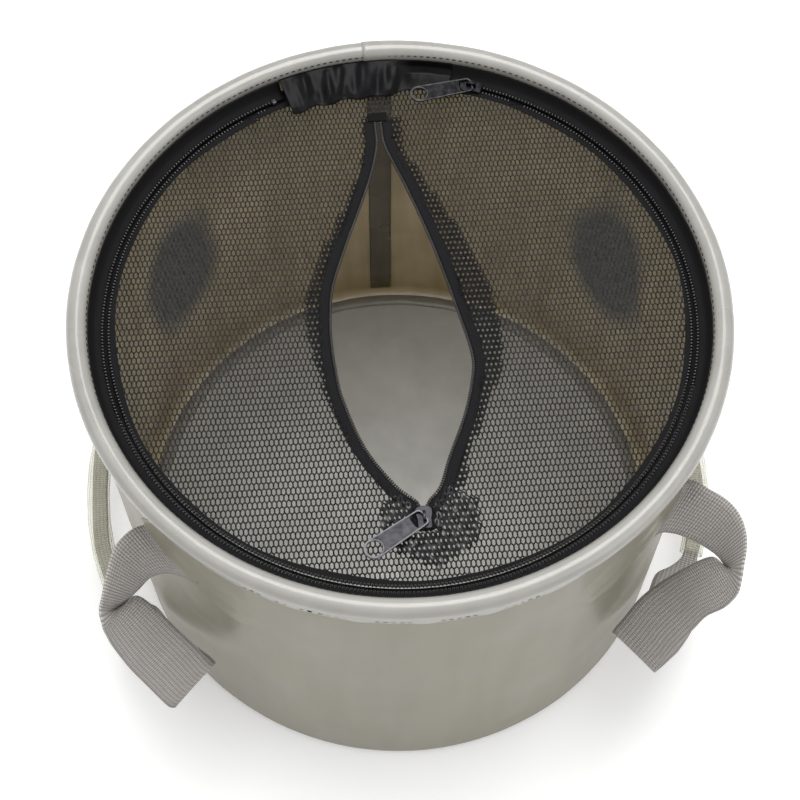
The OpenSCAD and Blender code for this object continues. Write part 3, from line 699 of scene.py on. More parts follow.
def slit_line(side, off, count=140):
    """Points of the slit's edge with its straight ends, offset outwards at right angles"""
    out = [(side * (CHAIN_GAP / 2 + off), y) for y in np.linspace(SLIT_Y0, SLIT_FRONT - 1, 8)]
    span = SLIT_REAR - SLIT_FRONT
    for i in range(count + 1):
        u = i / count
        u0, u1 = max(0.0, u - 0.01), min(1.0, u + 0.01)
        turn = math.atan2(slit_x(side, u1) - slit_x(side, u0), (u1 - u0) * span)
        x = slit_x(side, u) + off * math.cos(turn)
        out.append((side * x, SLIT_FRONT + span * u - off * math.sin(turn)))
    out += [(side * (CHAIN_GAP / 2 + off), y) for y in np.linspace(SLIT_REAR + 1, SLIT_Y1, 8)]
    return [turned(*p) for p in out]


def circle_line(r, a0, a1, count=720):
    return [(r * math.cos(math.radians(a)), r * math.sin(math.radians(a))) for a in np.linspace(a0, a1, count)]


def coil(name, line, inward, body, nodes, pitch):
    """A zip coil: a ring of bent thread for every pitch, reaching inward of the line.
    line is the coil's edge nearest its mate; inward is +1 where the mate is on the line's left."""
    thread, slant, height = 0.44, math.radians(8), 0.85
    bm = bmesh.new()
    ring = bmesh.ops.create_circle(bm, segments=4, radius=thread, matrix=Matrix.Translation((1, 0, 0)))["verts"]
    bmesh.ops.spin(bm, geom=ring + list(bm.edges), cent=(0, 0, 0), axis=(0, 1, 0), angle=2 * math.pi, steps=7,
                   use_merge=True)
    half = (COIL_W + COIL_REACH) / 2 - 0.3
    shape = Matrix.Translation(((COIL_REACH - COIL_W) / 2, 0, 0)) @ Matrix.Rotation(slant, 4, "Z")
    bmesh.ops.transform(bm, verts=bm.verts, matrix=shape @ Matrix.Diagonal((half, pitch / 1.5, height, 1)))
    p = np.array(line)
    run = run_along(p)

    def at(d):
        return np.array([np.interp(d, run, column) for column in p.T])
    places = []
    for i in range(int(run[-1] / pitch)):
        d = (i + 0.5) * pitch
        x, y = at(d)
        t = unit(at(min(run[-1], d + 0.5)) - at(max(0, d - 0.5)))
        place = Matrix(((-t[1] * inward, t[0], 0, x), (t[0] * inward, t[1], 0, y), (0, 0, 1, LID_Z),
                        (0, 0, 0, 1)))
        places.append((place, 1 if pitch > 2 and y < -60 else 0))
    return finish_mesh(copies(unit_mesh(bm), places), name, ["coil", "thread"], body=body, slot="coil",
                       replaces=nodes)


def flat_band(name, near, far, z, thick, materials, wave=0.0, **rest):
    """A thin band between two lines of equal length"""
    near, far = np.array(near), np.array(far)
    rows = np.column_stack([near, far, run_along(near)])
    width = float(np.linalg.norm(far[0] - near[0]))

    def lay(u, v):
        ax, ay, bx, by, run = row_at(rows, v)
        ripple = wave * u * math.sin(run * 0.11 + 1.3 * math.sin(run * 0.023))
        return ax * (1 - u) + bx * u, ay * (1 - u) + by * u, z + ripple
    return cloth(name, 5, len(rows) - 1, lay, materials, thick,
                 measure=lambda u, v: (u * width, row_at(rows, v)[4]), **rest)


def build_rim_zip():
    """The rim zip's tapes and coils, on the tub and on the lid"""
    def tape_shift(a, r, z):
        return 0.0, 0.18 * math.sin(47 * math.radians(a)) * (1 if r < 184 else 0)
    section = [(179.3, 277.6), (181.4, 277.9), (183, 278.0), (184.8, 279.4), (186.2, 282.4), (187.3, 286.7)]
    round_cloth("rim_tape_band", section, GUSSET[1], GUSSET[0] + 360, 360, 12, tape_shift, materials=["tape"],
                thick=0.5, body="tub", slot="tape", replaces=["rim_tape"])
    guard = [(176.2, 274.9), (183.2, 274.9), (184.4, 276.5), (184.6, 279.2)]
    round_cloth("rim_tape_guard", guard, 0, 360, 360, 8, materials=["tape"], thick=0.4, body="tub", slot="tape")
    pitch = mm(settings().rim_pitch)
    outer, inner = CHAIN_R + CHAIN_GAP / 2, CHAIN_R - CHAIN_GAP / 2
    coil("rim_coil_outer", circle_line(outer, 112.2, 433.4), 1, "tub", ["rim_coil"], pitch)
    lid_end = math.degrees(math.asin((HINGE_Y - 1) / inner))
    coil("rim_coil_inner", circle_line(inner, 180 - lid_end, 360 + lid_end), -1, "lid", ["lid_coil"], pitch)
    rear = math.degrees(math.asin((HINGE_Y + 1.6) / (inner - COIL_W)))
    coil("rear_coil_right", circle_line(inner, rear, 73.1, 40), -1, "tub", ["rear_zip_coil"], pitch)
    coil("rear_coil_left", circle_line(inner, 115.3, 180 - rear, 40), -1, "tub", ["rear_zip_coil"], pitch)
    for name, y, a0, a1, count, body, node in (
            ("lid_tape_band", HINGE_Y - 0.1, 180, 360, 400, "lid", "lid_zip_tape"),
            ("rear_tape_band", HINGE_Y + 0.5, 180, 0, 60, "tub", "rear_zip_tape")):
        near, far = (math.degrees(math.asin(y / r)) for r in (TAPE_OUT, TAPE_IN))
        edge = []
        for a in np.linspace(a0 - far, a1 + far, count):
            t = math.radians(a)
            r = TAPE_IN + (0.7 * math.sin(5 * t + 1) + 0.5 * math.sin(11 * t)) * (1 if body == "lid" else 0)
            edge.append((r * math.cos(t), r * math.sin(t)))
        flat_band(name, circle_line(TAPE_OUT, a0 - near, a1 + near, count), edge, LID_Z - 0.35, 0.45, ["tape"],
                  wave=0.25, body=body, slot="tape", replaces=[node])
    blocks("zip_stops", [((CHAIN_R, -1.4, 276.9), (181, 1.4, 279.1), a) for a in (112.9, 73.9)], ["coil"], "tub",
           "coil", ["rim_zip_stops"], 0.25)


def build_slit():
    """The slit's coils and tapes, and the tack at its rear end"""
    for side, word in ((-1, "left"), (1, "right")):
        coil(f"slit_coil_{word}_teeth", slit_line(side, 0.0), side, "lid", [f"slit_coil_{word}"],
             mm(settings().tooth_pitch))
        flat_band(f"slit_tape_{word}_band", slit_line(side, COIL_W - 0.3), slit_line(side, COIL_W + 6.0), LID_Z,
                  0.5, ["tape"], wave=0.4, body="lid", slot="tape", replaces=[f"slit_tape_{word}"])
    blocks("slit_tack", [((-6, 145.4, 277.7), (6, 151.9, 279.0), math.degrees(SLIT_TURN))], ["tape"], "lid", "tape",
           ["slit_rear_tack"], 0.5)


def bevel(obj, width, segments):
    """Rounds a piece's sharp edges with a modifier"""
    m = obj.modifiers.new("edges", "BEVEL")
    m.width = width * MM
    m.segments = segments
    m.limit_method = "ANGLE"
    m.harden_normals = False
    return obj


# Net

def drape(x, y):
    """Height of the net over its flat level"""
    ring = math.hypot(x, y) / 170
    return (0.35 * math.sin(x * 0.06 + y * 0.035) + 0.3 * math.sin(y * 0.075 - x * 0.03 + 1)) * max(0.0, 1 - ring ** 4)


def net(name, inside, body, nodes, z, seed=(0.0, 0.0), yarn=0.42, hole=None, crinkle=0.0,
        material="net"):
    """Knitted net of six-sided cells. Each cell is inset for its hole and rises to the crest it shares."""
    st = settings()
    hole = hole or st.net_hole
    px, py = mm(st.net_pitch), mm(st.net_row)
    bm = bmesh.new()
    bmesh.ops.create_circle(bm, cap_ends=True, segments=6, radius=1,
                            matrix=Matrix.Diagonal((px / math.sqrt(3), py * 2 / 3, 1, 1)))
    rows, cols = int(180 / py) + 2, int(180 / px) + 2
    places = []
    for j in range(-rows, rows + 1):
        for i in range(-cols, cols + 1):
            x, y = (i + (0.5 if j % 2 else 0.0)) * px + seed[0], j * py + seed[1]
            if inside(x, y):
                places.append((Matrix.Translation((x, y, 0)), 0))
    bm = copies(unit_mesh(bm), places)
    bmesh.ops.remove_doubles(bm, verts=bm.verts, dist=0.02)
    crest = list(bm.verts)
    middle = list(bm.faces)
    bmesh.ops.inset_individual(bm, faces=middle, thickness=(1 - hole) * px / 2, use_even_offset=True)
    bmesh.ops.delete(bm, geom=middle, context="FACES_ONLY")
    shared = set(crest)
    border = [e for e in bm.edges if e.is_boundary and shared.issuperset(e.verts)]
    for v in bm.verts:
        x, y = v.co.xy
        v.co.z = z + drape(x, y) + crinkle * (math.sin(x * 0.9 + y * 0.4) * math.sin(y * 0.7 - x * 0.5))
    under = bmesh.ops.duplicate(bm, geom=list(bm.verts) + list(bm.edges) + list(bm.faces))["vert_map"]
    for k, v in enumerate(crest):
        knot = crinkle * 0.4 * math.sin(k * 2.3) + 0.12 * math.sin(k * 1.7)
        v.co.z += yarn + knot
        under[v].co.z -= yarn - knot
    for v in bmesh.ops.extrude_edge_only(bm, edges=border)["geom"]:
        if isinstance(v, bmesh.types.BMVert):
            v.co.z -= 2 * yarn
    obj = finish_mesh(bm, name, [material], merge=True, body=body, slot="mesh", replaces=nodes, smooth=False)


def slit_frame(x, y):
    """From the bucket's axes to the slit's own"""
    c, s = math.cos(SLIT_TURN), math.sin(SLIT_TURN)
    return x * c + y * s, -x * s + y * c


def beside_slit(side, x, y):
    """How far outside the slit's edge a place is; 5 at the middle line past its ends"""
    u, v = slit_frame(x, y)
    if not SLIT_Y0 - 2 < v < SLIT_Y1 + 2:
        return side * u + 5
    return side * u - slit_half_at(side, min(SLIT_REAR, max(SLIT_FRONT, v)))


def build_net():
    """The lid's two halves with the doubled net beside the slit and at its front, and the net behind the fold"""
    for side, word in ((-1, "left"), (1, "right")):
        def lid_inside(x, y, side=side):
            return y < HINGE_Y and math.hypot(x, y) < NET_R and beside_slit(side, x, y) > 5.0
        net(f"lid_net_{word}", lid_inside, "lid", [f"lid_mesh_{word}"], NET_Z)

        def hem_inside(x, y, side=side):
            reach = 25 if side > 0 else 16
            far = beside_slit(side, x, y)
            return -140 < y < HINGE_Y - 6 and 7.0 < far < reach * (0.75 + 0.25 * math.sin(y * 0.03 + 1))
        net(f"slit_hem_{word}", hem_inside, "lid", [], NET_Z + 1.1,
            seed=(1.3, 1.7), yarn=0.36, hole=0.5, crinkle=0.12, material="net_matt")

    def rear_inside(x, y):
        return y > HINGE_Y and math.hypot(x, y) < NET_R
    net("rear_net", rear_inside, "tub", ["rear_mesh"], NET_Z)

    def patch_inside(x, y):
        u, v = slit_frame(x, y)
        low = -167 + 0.62 * abs(u - 4)
        high = -118 - 0.5 * max(0.0, abs(u - 3) - 14)
        off = abs(u) > 6.5 if v > -144.5 else True
        clear = slit_half_at(1 if u > 0 else -1, max(SLIT_FRONT, v)) + 6
        return -25 < u < 31 and low < v < high and off and abs(u) > (clear if v > -130 else 0)
    net("slit_front_patch_net", patch_inside, "lid", ["slit_front_patch"], NET_Z + 1.6,
        seed=(0.9, 1.9), yarn=0.45, hole=0.36, crinkle=0.5, material="net_gloss")


# Gusset

def build_gusset():
    """Gathered satin over the zip's gap: flat at its right end, raised in folds elsewhere"""
    high = [(164.0, 279.0), (167.5, 281.4), (172.5, 283.6), (178, 285.4), (183, 286.8), (187.2, 287.4)]
    flat = [(169.5, 278.9), (173.5, 279.2), (178.5, 279.5), (182.5, 279.9), (185.6, 282.6), (187.2, 287.0)]
    tall, low = along_line(high)[0], along_line(flat)[0]

    def lay(u, v):
        a = GUSSET_CLOTH[0] + (GUSSET_CLOTH[1] - GUSSET_CLOTH[0]) * u
        part = smooth_step(a, 83.0, 90.0)
        (r0, z0), (r1, z1) = low(v), tall(v)
        r, z = r0 + (r1 - r0) * part, z0 + (z1 - z0) * part
        size = (0.25 + 0.75 * part) * min(1.0, 12 * (1 - u), 10 * u + 0.2) * math.sin(math.pi * v) ** 0.6
        fold = (math.sin(a * 0.95 + 1.6 * v) + 0.6 * math.sin(a * 1.5 - 2.2 * v + 1)
                + 0.35 * math.sin(a * 2.6 + 4 * v))
        gather = 1.1 * math.sin(a * 0.9 + 1) * (1 - v) * part
        return cyl(a, r + gather, z + 1.15 * fold * size * (1 if part > 0.5 else 0.55) + 0.4)
    obj = cloth("gusset_satin", 170, 26, lay, ["satin"], 0.4, body="tub", slot="satin", replaces=["satin_gusset"],
                measure=lambda u, v: (v * 25, u * 110))


# Sliders and pulls

def outline_solid(name, outline, holes, z0, z1, place, body, nodes, width=0.25, material="metal"):
    """A flat plate with holes, its edges rounded"""
    curve = bpy.data.curves.new(name, "CURVE")
    curve.dimensions = "2D"
    curve.fill_mode = "BOTH"
    for loop in [outline] + holes:
        spline = curve.splines.new("POLY")
        spline.points.add(len(loop) - 1)
        for point, (x, y) in zip(spline.points, loop):
            point.co = (x * MM, y * MM, 0, 1)
        spline.use_cyclic_u = True
    curve.extrude = (z1 - z0) / 2 * MM - width * MM
    curve.bevel_depth = width * MM
    curve.bevel_resolution = 2
    curve.offset = -width * MM
    temp = bpy.data.objects.new(name + "_outline", curve)
    bpy.context.scene.collection.objects.link(temp)
    bpy.context.view_layer.update()
    mesh = bpy.data.meshes.new_from_object(temp.evaluated_get(bpy.context.evaluated_depsgraph_get()))
    bpy.data.objects.remove(temp)
    bpy.data.curves.remove(curve)
    mesh.name = name
    mesh.transform(place @ Matrix.Translation((0, 0, (z0 + z1) / 2 * MM)))
    bm = bmesh.new()
    bm.from_mesh(mesh)
    bmesh.ops.remove_doubles(bm, verts=bm.verts, dist=1e-7)
    bmesh.ops.recalc_face_normals(bm, faces=bm.faces)
    bm.to_mesh(mesh)
    bm.free()
    mesh.materials.clear()
    return add_piece(mesh, name, [material], body, nodes)


def arc(cx, cy, r, a0, a1, count):
    """Points of an arc, its angles in degrees"""
    return [(cx + r * math.cos(math.radians(a)), cy + r * math.sin(math.radians(a)))
            for a in np.linspace(a0, a1, count)]


def blocks(name, boxes, materials, body, slot, replaces=(), width=0.2, place=None):
    """Boxes with rounded edges, each given by two corners and its turn in degrees about the middle"""
    bm = bmesh.new()
    for lo, hi, turn in boxes:
        size = [b - a for a, b in zip(lo, hi)]
        middle = [(a + b) / 2 for a, b in zip(lo, hi)]
        bmesh.ops.create_cube(bm, size=1, matrix=Matrix.Rotation(math.radians(turn), 4, "Z")
                              @ Matrix.Translation(middle) @ Matrix.Diagonal((*size, 1)))
    obj = finish_mesh(bm, name, materials, body, slot, replaces, smooth=False, place=place)
    return bevel(obj, width, 2)


def build_slider(prefix, place, body, node):
    """Two plates joined by a post, with side lips and the crown that holds the pull"""
    h, w1, w0 = 7.0, 4.8, 4.0
    outline = [(-w0, -h + 0.8), (-w0 + 0.8, -h), (w0 - 0.8, -h), (w0, -h + 0.8), (w0, -1), (w1, 2), (w1, h - 2),
               (w1 - 2, h), (2 - w1, h), (-w1, h - 2), (-w1, 2), (-w0, -1)]
    outline_solid(prefix + "_top", outline, [], 279.5, 280.5, place, body, [node])
    outline_solid(prefix + "_bottom", outline, [], 275.5, 276.5, place, body, [])
    for word, lo, hi in (("post", (-0.55, 2.6, 276.3), (0.55, 6.5, 279.7)),
                         ("lip_left", (-4.0, -5.4, 279.0), (-3.25, 1.8, 279.7)),
                         ("lip_right", (3.25, -5.4, 279.0), (4.0, 1.8, 279.7))):
        blocks(f"{prefix}_{word}", [(lo, hi, 0)], ["metal"], body, "metal", width=0.15, place=place)
    roof = [(-3.2, 0), (-2.5, 0), (-2.5, 2.2), (2.5, 2.2), (2.5, 0), (3.2, 0), (3.2, 2.1), (2.4, 3.05), (0, 3.35),
            (-2.4, 3.05), (-3.2, 2.1)]
    upright = Matrix.Rotation(math.pi / 2, 4, "Z") @ Matrix.Rotation(math.pi / 2, 4, "X")
    stand = place @ Matrix.Translation((0, 0, 280.4 * MM)) @ upright
    outline_solid(prefix + "_crown", roof, [], -0.8, 0.8, stand, body, [], 0.2)


def build_pull(prefix, place, body, node):
    """A plate with an opening for the crown and a round hole, its raised rim and eye, and a sunk panel"""
    far = 34.8

    def edge(inset):
        neck, turn, end_r = 5.3 - inset, 2.6, 6.2 - inset
        out = arc(turn - 0.5 + inset, -neck + turn, turn, 180, 270, 8) + arc(far, 0, end_r, -84, 84, 28)
        return out + arc(turn - 0.5 + inset, neck - turn, turn, 90, 180, 8)
    opening = arc(2.1, -2.7, 1.6, 180, 270, 6) + [(6.6, -4.3), (7.6, -3.6), (8.0, -2.4)]
    opening += [(8.0, 2.4), (7.6, 3.6), (6.6, 4.3)] + arc(2.1, 2.7, 1.6, 90, 180, 6)
    hole = arc(far, 0, 4.8, 0, 360, 33)[:-1]
    outline_solid(prefix + "_plate", edge(0), [opening, hole], -0.65, 0.65, place, body, [node], 0.28)
    # The rim and the eye take the lighter metal as a painted highlight
    outline_solid(prefix + "_rim", edge(0), [edge(0.8)], 0.3, 0.74, place, body, [], 0.12, "steel")
    eye = arc(far, 0, 5.5, 0, 360, 33)[:-1]
    outline_solid(prefix + "_eye", eye, [hole], 0.3, 0.8, place, body, [], 0.12, "steel")
    panel_out = [(10.2, -3.9), (27.6, -4.2), (27.6, 4.2), (10.2, 3.9)]
    panel_in = [(10.9, -3.3), (26.9, -3.6), (26.9, 3.6), (10.9, 3.3)]
    outline_solid(prefix + "_panel", panel_out, [panel_in], 0.5, 0.8, place, body, [], 0.1)


def build_hardware():
    """Both zips' sliders and pulls"""
    rim = Matrix.Rotation(math.radians(RIM_SLIDER_ANGLE), 4, "Z") @ Matrix.Translation((CHAIN_R * MM, 0, 0))
    slit = Matrix.Rotation(SLIT_TURN, 4, "Z") @ Matrix.Translation((0, SLIT_SLIDER_Y * MM, 0))
    for zip_name, place, turn, tilt in (("rim", rim, RIM_PULL_TURN, RIM_PULL_TILT),
                                        ("slit", slit, SLIT_PULL_TURN, 0.0)):
        slider, pull = f"{zip_name}_slider", f"{zip_name}_pull"
        build_slider(slider, place, slider, slider)
        pin = place @ Matrix.Translation((0, 0, PIN_Z * MM)) @ Matrix.Rotation(math.radians(turn), 4, "Z")
        build_pull(pull, pin @ Matrix.Rotation(math.radians(-tilt), 4, "Y"), pull, pull)


# Handles

# Half of each strap, from its patch to the sleeve: the middle's angle from the handle's own, its radius and
# height, and the direction across the band, as parts along the girth, outwards and upwards
LEFT_ROUTE = [
    (45.2, 194.6, 247, -0.6, 0, 0.8), (43, 194.9, 242, -0.7, 0, 0.7),
    (40, 195.6, 235, -0.76, -0.02, 0.65), (38.5, 201.9, 234, -0.62, 0.12, 0.78),
    (37.9, 212.4, 231, -0.39, 0.26, 0.88), (38.7, 222.9, 226, -0.16, 0.35, 0.92),
    (39.5, 233.2, 221, 0.06, 0.36, 0.93), (39.9, 240, 217, 0.2, 0.33, 0.92),
    (40.6, 239.2, 214, 0.33, 0.56, 0.76), (41.1, 234.8, 209, 0.3, 0.84, 0.45),
    (43, 232.8, 196, 0.07, 0.96, 0.28), (45.2, 230.9, 177, -0.03, 1, 0.09),
    (47.7, 228.4, 157, -0.14, 0.98, -0.12), (50.2, 226.7, 137, -0.2, 0.94, -0.29),
    (50.7, 224.5, 131, -0.15, 0.97, -0.15), (49.6, 221, 124, 0, 1, 0), (44, 218, 108, 0, 1, 0),
    (36, 215.5, 84, 0, 1, 0), (28, 214, 60, 0, 1, 0),
]
RIGHT_ROUTE = [
    (45.2, 194.6, 247, -0.6, 0, 0.8), (43, 194.9, 242, -0.7, 0, 0.7),
    (38.3, 196.8, 242, -0.77, 0.04, 0.63), (37.2, 206.4, 241, -0.57, 0.16, 0.8),
    (36.7, 218.3, 239, -0.47, 0.18, 0.86), (36.8, 227.4, 236, -0.35, 0.21, 0.91),
    (37.5, 235.4, 233, -0.15, 0.24, 0.96), (38.5, 241.1, 229, 0.05, 0.24, 0.97),
    (39.5, 244.8, 225, 0.24, 0.24, 0.94), (40.2, 244.9, 221, 0.44, 0.43, 0.79),
    (40.7, 241.6, 216, 0.54, 0.69, 0.48), (41.9, 236.6, 204, 0.49, 0.82, 0.31),
    (43.2, 229.6, 188, 0.42, 0.85, 0.32), (44.4, 225.3, 172, 0.36, 0.91, 0.18),
    (46.7, 221, 154, 0.26, 0.97, -0.01), (48.9, 219.2, 135, 0.12, 0.99, 0.01), (50.1, 218.2, 126, 0.1, 0.99, 0),
    (49.5, 217.2, 115, 0, 1, 0), (45.9, 217.2, 107, 0, 1, 0), (42, 217, 96, 0, 1, 0), (35, 215.5, 80, 0, 1, 0),
    (28, 214, 60, 0, 1, 0),
]
REAR_ROUTE = [
    (45.2, 194.6, 247, -0.6, 0, 0.8), (43, 194.9, 242, -0.6, 0, 0.8), (41, 195.2, 239, -0.5, 0.02, 0.87),
    (38.9, 198, 232, -0.4, 0.1, 0.9), (37.6, 204, 220, -0.2, 0.3, 0.9),
    (37.2, 209, 204, 0, 0.7, 0.6), (38, 212, 184, 0.05, 0.95, 0.2), (40, 213, 156, 0, 1, 0.05),
    (41.5, 213, 128, 0, 1, 0), (41.5, 213, 104, 0, 1, 0), (38, 213, 84, 0, 1, 0), (33, 214, 70, 0, 1, 0),
    (28, 214, 60, 0, 1, 0),
]


def strap_rows(route, side, end):
    """A route's rows for ribbon, with the narrowing where the strap enters the sleeve"""
    rows = []
    for a, r, z, t, o, u in route:
        q = math.radians(a)
        x, y = r * math.cos(q), r * math.sin(q)
        wx = o * math.cos(q) - t * math.sin(q)
        wy = o * math.sin(q) + t * math.cos(q)
        rows.append([side * x, end * y, z, side * wx, end * wy, u, WEB_W])
    for a, w in ((GRIP_HALF + 4, 22.0), (GRIP_HALF + 1, 10.8), (GRIP_HALF - 3, 10.6), (GRIP_HALF - 12, 10.6)):
        q = math.radians(a)
        out, along, z = side * math.cos(q), end * math.sin(q), GRIP_Z + (1 if a > GRIP_HALF + 2 else 0)
        rows.append([GRIP_R * out, GRIP_R * along, z, out, along, 0, w])
    return rows


def build_handle(side, word, route):
    """A handle's strap, bent where it leaves the wall, and its sleeve"""
    body = f"handle_{word}"
    front = strap_rows(route, side, -1)
    rear = strap_rows(REAR_ROUTE, side, 1)
    obj = ribbon(f"strap_{word}", front + rear[::-1], 7, ["webbing"], slot="webbing")
    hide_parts(f"strap_ends_{word}", f"strap_loop_{word}")
    start, end = (((SWING_X + k * SWING_BEND) * MM * side, 0, (SWING_Z - k * SWING_BEND) * MM) for k in (-1, 1))
    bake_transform(obj)
    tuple(start)
    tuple(end)
    a0 = 180 - GRIP_HALF if side < 0 else -GRIP_HALF
    sleeve(f"sleeve_{word}", rounded(16, 8.4, 4.0, 7), a0, a0 + 2 * GRIP_HALF, body, [f"grip_{word}"])


def rounded(w, h, r, steps):
    """Points of a rectangle with round corners"""
    out = []
    for cx, cy, a in ((w / 2 - r, h / 2 - r, 0), (r - w / 2, h / 2 - r, 90), (r - w / 2, r - h / 2, 180),
                      (w / 2 - r, r - h / 2, 270)):
        out += arc(cx, cy, r, a, a + 90, steps)
    return out


def sleeve(name, outline, a0, a1, body, nodes):
    """A hollow sleeve round part of a circle, open at both ends"""
    loop = np.array(outline + outline[:1])

    def lay(u, v):
        x, y = row_at(loop, u)
        swell = 0.25 * math.sin(v * 42) + 0.2 * math.sin(v * 19 + 1)
        return cyl(a0 + (a1 - a0) * v, GRIP_R + x + swell * 0.4, GRIP_Z + y * (1 + 0.03 * swell))
    return cloth(name, len(loop) - 1, 60, lay, ["sleeve"], 1.4, offset=-1.0, flip=True, body=body, slot="sleeve",
                 replaces=nodes)


def patch_outline(h, v, side, end):
    """Maps a place on a patch, h away from the handle's middle and v up, to an angle and a height"""
    tilt = math.radians(49)
    along = h * math.cos(tilt) - v * math.sin(tilt)
    up = h * math.sin(tilt) + v * math.cos(tilt)
    z = STRAP_Z + up
    a = STRAP_ANGLE + math.degrees(along / wall_r(STRAP_Z))
    angle = a if (side > 0) == (end > 0) else -a
    if side < 0:
        angle += 180
    return angle, z


def build_patch(side, end, node):
    """A welded patch: proud along its mouth, where the strap comes out, and faded into the wall elsewhere"""
    h0, h1, v0, v1 = 0.5, 46.0, -74.0, 26.0

    def lay(u, w):
        h = h0 + (h1 - h0) * u ** 1.5
        v = v0 + (v1 - v0) * w
        a, z = patch_outline(h, v, side, end)
        z = min(z, 270.5)
        fade = smooth_step(h1 - h, 0, 30) * smooth_step(v - v0, 0, 26)
        pocket = smooth_step(21.5 - abs(v), -6, 4) * smooth_step(30 - h, 0, 26)
        lift = -0.55 + (1.85 + 0.8 * smooth_step(14 - h, 0, 14) + 1.4 * pocket) * fade
        r = wall_r(z) + wall_shift(a, 0, z)[0] + lift + 0.12 * math.sin(h * 0.4 + v * 0.13) * fade
        return cyl(a, r, z)
    return cloth(node + "_sheet", 44, 56, lay, ["patch"], 0.5, body="tub", slot="wall", replaces=[node])


# Stage

def build_stage():
    """The pale floor, the world and three soft lights"""
    s = Shader("stage_white", (0.93, 0.93, 0.93), 0.9)
    rays = s.node("ShaderNodeLightPath").outputs
    seen = s.math("ADD", rays["Is Camera Ray"], s.math("ADD", rays["Is Glossy Ray"], rays["Is Transmission Ray"]))
    s.set("Emission Color", (1, 1, 1, 1))
    s.link(s.math("MULTIPLY", seen, 0.16), s.bsdf.inputs["Emission Strength"])
    MATERIALS["stage"] = s.material
    bm = bmesh.new()
    bmesh.ops.create_grid(bm, x_segments=1, y_segments=1, size=6000, matrix=Matrix.Translation((0, 0, -0.5)))
    finish_mesh(bm, "stage_floor", ["stage"], turn=False)
    world = bpy.data.worlds.new("studio")
    bpy.context.scene.world = world
    world.use_nodes = True
    sky = world.node_tree.nodes["Background"]
    sky.inputs["Color"].default_value = (1, 1, 1, 1)
    sky.inputs["Strength"].default_value = 0.75
    for name, place, size, power in (("key", (-0.9, -0.2, 1.9), 1.8, 9), ("fill", (1.5, -0.9, 1.2), 1.2, 5),
                                     ("top", (0.15, 0.3, 1.8), 1.1, 21)):
        lamp = bpy.data.lights.new(name, "AREA")
        lamp.energy = power
        lamp.size = size
        light = bpy.data.objects.new(name, lamp)
        light.location = place
        aim = Vector((0, 0, 0.15)) - Vector(place)
        light.rotation_euler = aim.to_track_quat("-Z", "Y").to_euler()
        bpy.context.scene.collection.objects.link(light)


def build_camera():
    """The photo's view, fitted to the rim, the base and the straps"""
    distance, lift, roll = 1074.967, 1.0843058, 0.0159764
    tx, ty, height = -0.34837, -59.09277, 295.0
    d = Vector((0, math.cos(lift), -math.sin(lift)))
    r = Vector((1, 0, 0))
    u = Vector((0, math.sin(lift), math.cos(lift)))
    c, s = math.cos(roll), math.sin(roll)
    r2 = c * r + s * u
    u2 = -s * r + c * u
    place = Vector((0, 0, height)) - d * distance + r2 * tx + u2 * ty
    turn = Matrix.Rotation(math.radians(-5), 3, "Z")
    r2, u2, d, place = turn @ r2, turn @ u2, turn @ d, turn @ place
    data = bpy.data.cameras.new("camera")
    data.lens = 81
    data.sensor_width = 36
    data.clip_start = 0.05
    data.dof.use_dof = False
    camera = bpy.data.objects.new("camera", data)
    axes = Matrix((r2, u2, -d)).transposed().to_4x4()
    camera.matrix_world = Matrix.Translation(place * MM) @ axes
    bpy.context.scene.collection.objects.link(camera)
    bpy.context.scene.camera = camera
    bpy.context.scene.view_settings.view_transform = "Standard"


# Operators

class BUCKET_OT_materials(bpy.types.Operator):
    """Makes the materials"""
    bl_idname = "bucket.materials"
    bl_label = "Materials"

    def execute(self, context):
        make_materials()
        return {"FINISHED"}


class BUCKET_OT_shell(bpy.types.Operator):
    """Builds the wall, the seam strip and the floor"""
    bl_idname = "bucket.shell"
    bl_label = "Shell"

    def execute(self, context):
        build_shell()
        return {"FINISHED"}


class BUCKET_OT_rim(bpy.types.Operator):
    """Builds the rim's piping, hem and stitches"""
    bl_idname = "bucket.rim"
    bl_label = "Rim"

    def execute(self, context):
        build_rim()
        return {"FINISHED"}


class BUCKET_OT_zips(bpy.types.Operator):
    """Builds both zips' tapes and coils"""
    bl_idname = "bucket.zips"
    bl_label = "Zips"

    def execute(self, context):
        build_rim_zip()
        build_slit()
        return {"FINISHED"}


class BUCKET_OT_net(bpy.types.Operator):
    """Builds the knitted net and its doubled hems"""
    bl_idname = "bucket.net"
    bl_label = "Net"

    def execute(self, context):
        build_net()
        return {"FINISHED"}


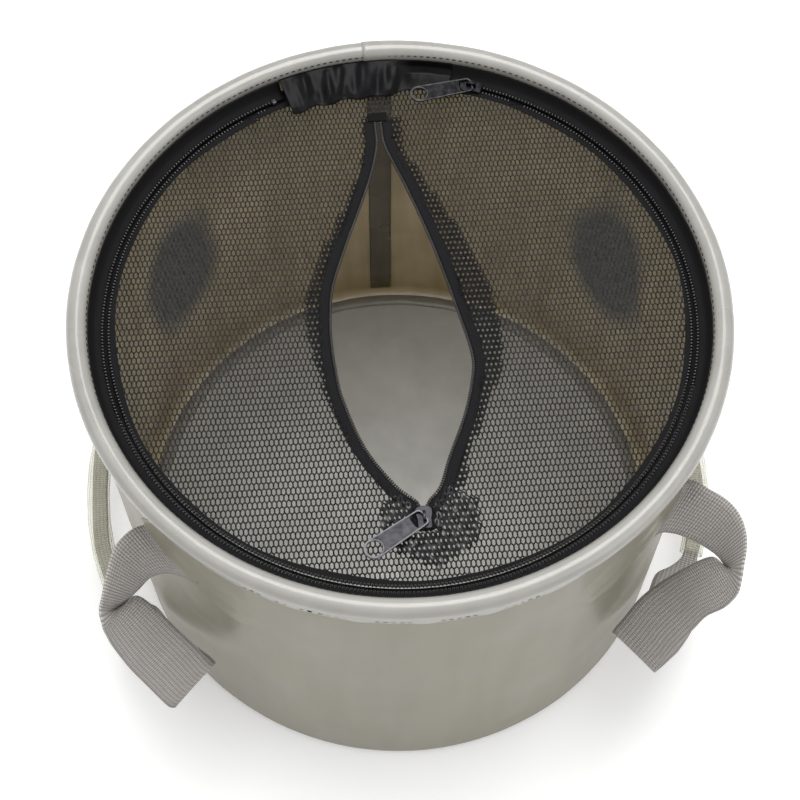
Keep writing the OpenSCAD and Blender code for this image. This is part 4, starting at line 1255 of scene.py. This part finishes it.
class BUCKET_OT_gusset(bpy.types.Operator):
    """Builds the gathered satin gusset"""
    bl_idname = "bucket.gusset"
    bl_label = "Gusset"

    def execute(self, context):
        build_gusset()
        return {"FINISHED"}


class BUCKET_OT_hardware(bpy.types.Operator):
    """Builds the sliders and pulls"""
    bl_idname = "bucket.hardware"
    bl_label = "Sliders and pulls"

    def execute(self, context):
        build_hardware()
        return {"FINISHED"}


class BUCKET_OT_handles(bpy.types.Operator):
    """Builds the straps, sleeves and patches"""
    bl_idname = "bucket.handles"
    bl_label = "Handles"

    def execute(self, context):
        for side, word, route in ((-1, "left", LEFT_ROUTE), (1, "right", RIGHT_ROUTE)):
            build_handle(side, word, route)
            for end, place in ((-1, "front"), (1, "rear")):
                build_patch(side, end, f"patch_{place}_{word}")
        return {"FINISHED"}


class BUCKET_OT_stage(bpy.types.Operator):
    """Builds the floor, the lights and the camera"""
    bl_idname = "bucket.stage"
    bl_label = "Stage"

    def execute(self, context):
        build_stage()
        build_camera()
        return {"FINISHED"}


OPERATORS = (BUCKET_OT_materials, BUCKET_OT_shell, BUCKET_OT_rim, BUCKET_OT_zips, BUCKET_OT_net, BUCKET_OT_gusset,
             BUCKET_OT_hardware, BUCKET_OT_handles, BUCKET_OT_stage)


class BUCKET_PT_panel(bpy.types.Panel):
    """Settings and one button for each group of pieces"""
    bl_label = "Bucket"
    bl_space_type = "VIEW_3D"
    bl_region_type = "UI"
    bl_category = "Bucket"

    def draw(self, context):
        for key in BucketSettings.__annotations__:
            self.layout.prop(context.scene.bucket, key)
        for operator in OPERATORS:
            self.layout.operator(operator.bl_idname)


CLASSES = (BucketSettings, *OPERATORS, BUCKET_PT_panel)


def register():
    for c in CLASSES:
        bpy.utils.register_class(c)
    bpy.types.Scene.bucket = bpy.props.PointerProperty(type=BucketSettings)


def unregister():
    del bpy.types.Scene.bucket
    for c in reversed(CLASSES):
        bpy.utils.unregister_class(c)


def main():
    """Builds the stage and every piece"""
    register()
    for step in ("stage", "materials", "shell", "rim", "zips", "net", "gusset", "hardware", "handles"):
        getattr(bpy.ops.bucket, step)()
    bpy.context.view_layer.update()


if __name__ == "__main__":
    main()
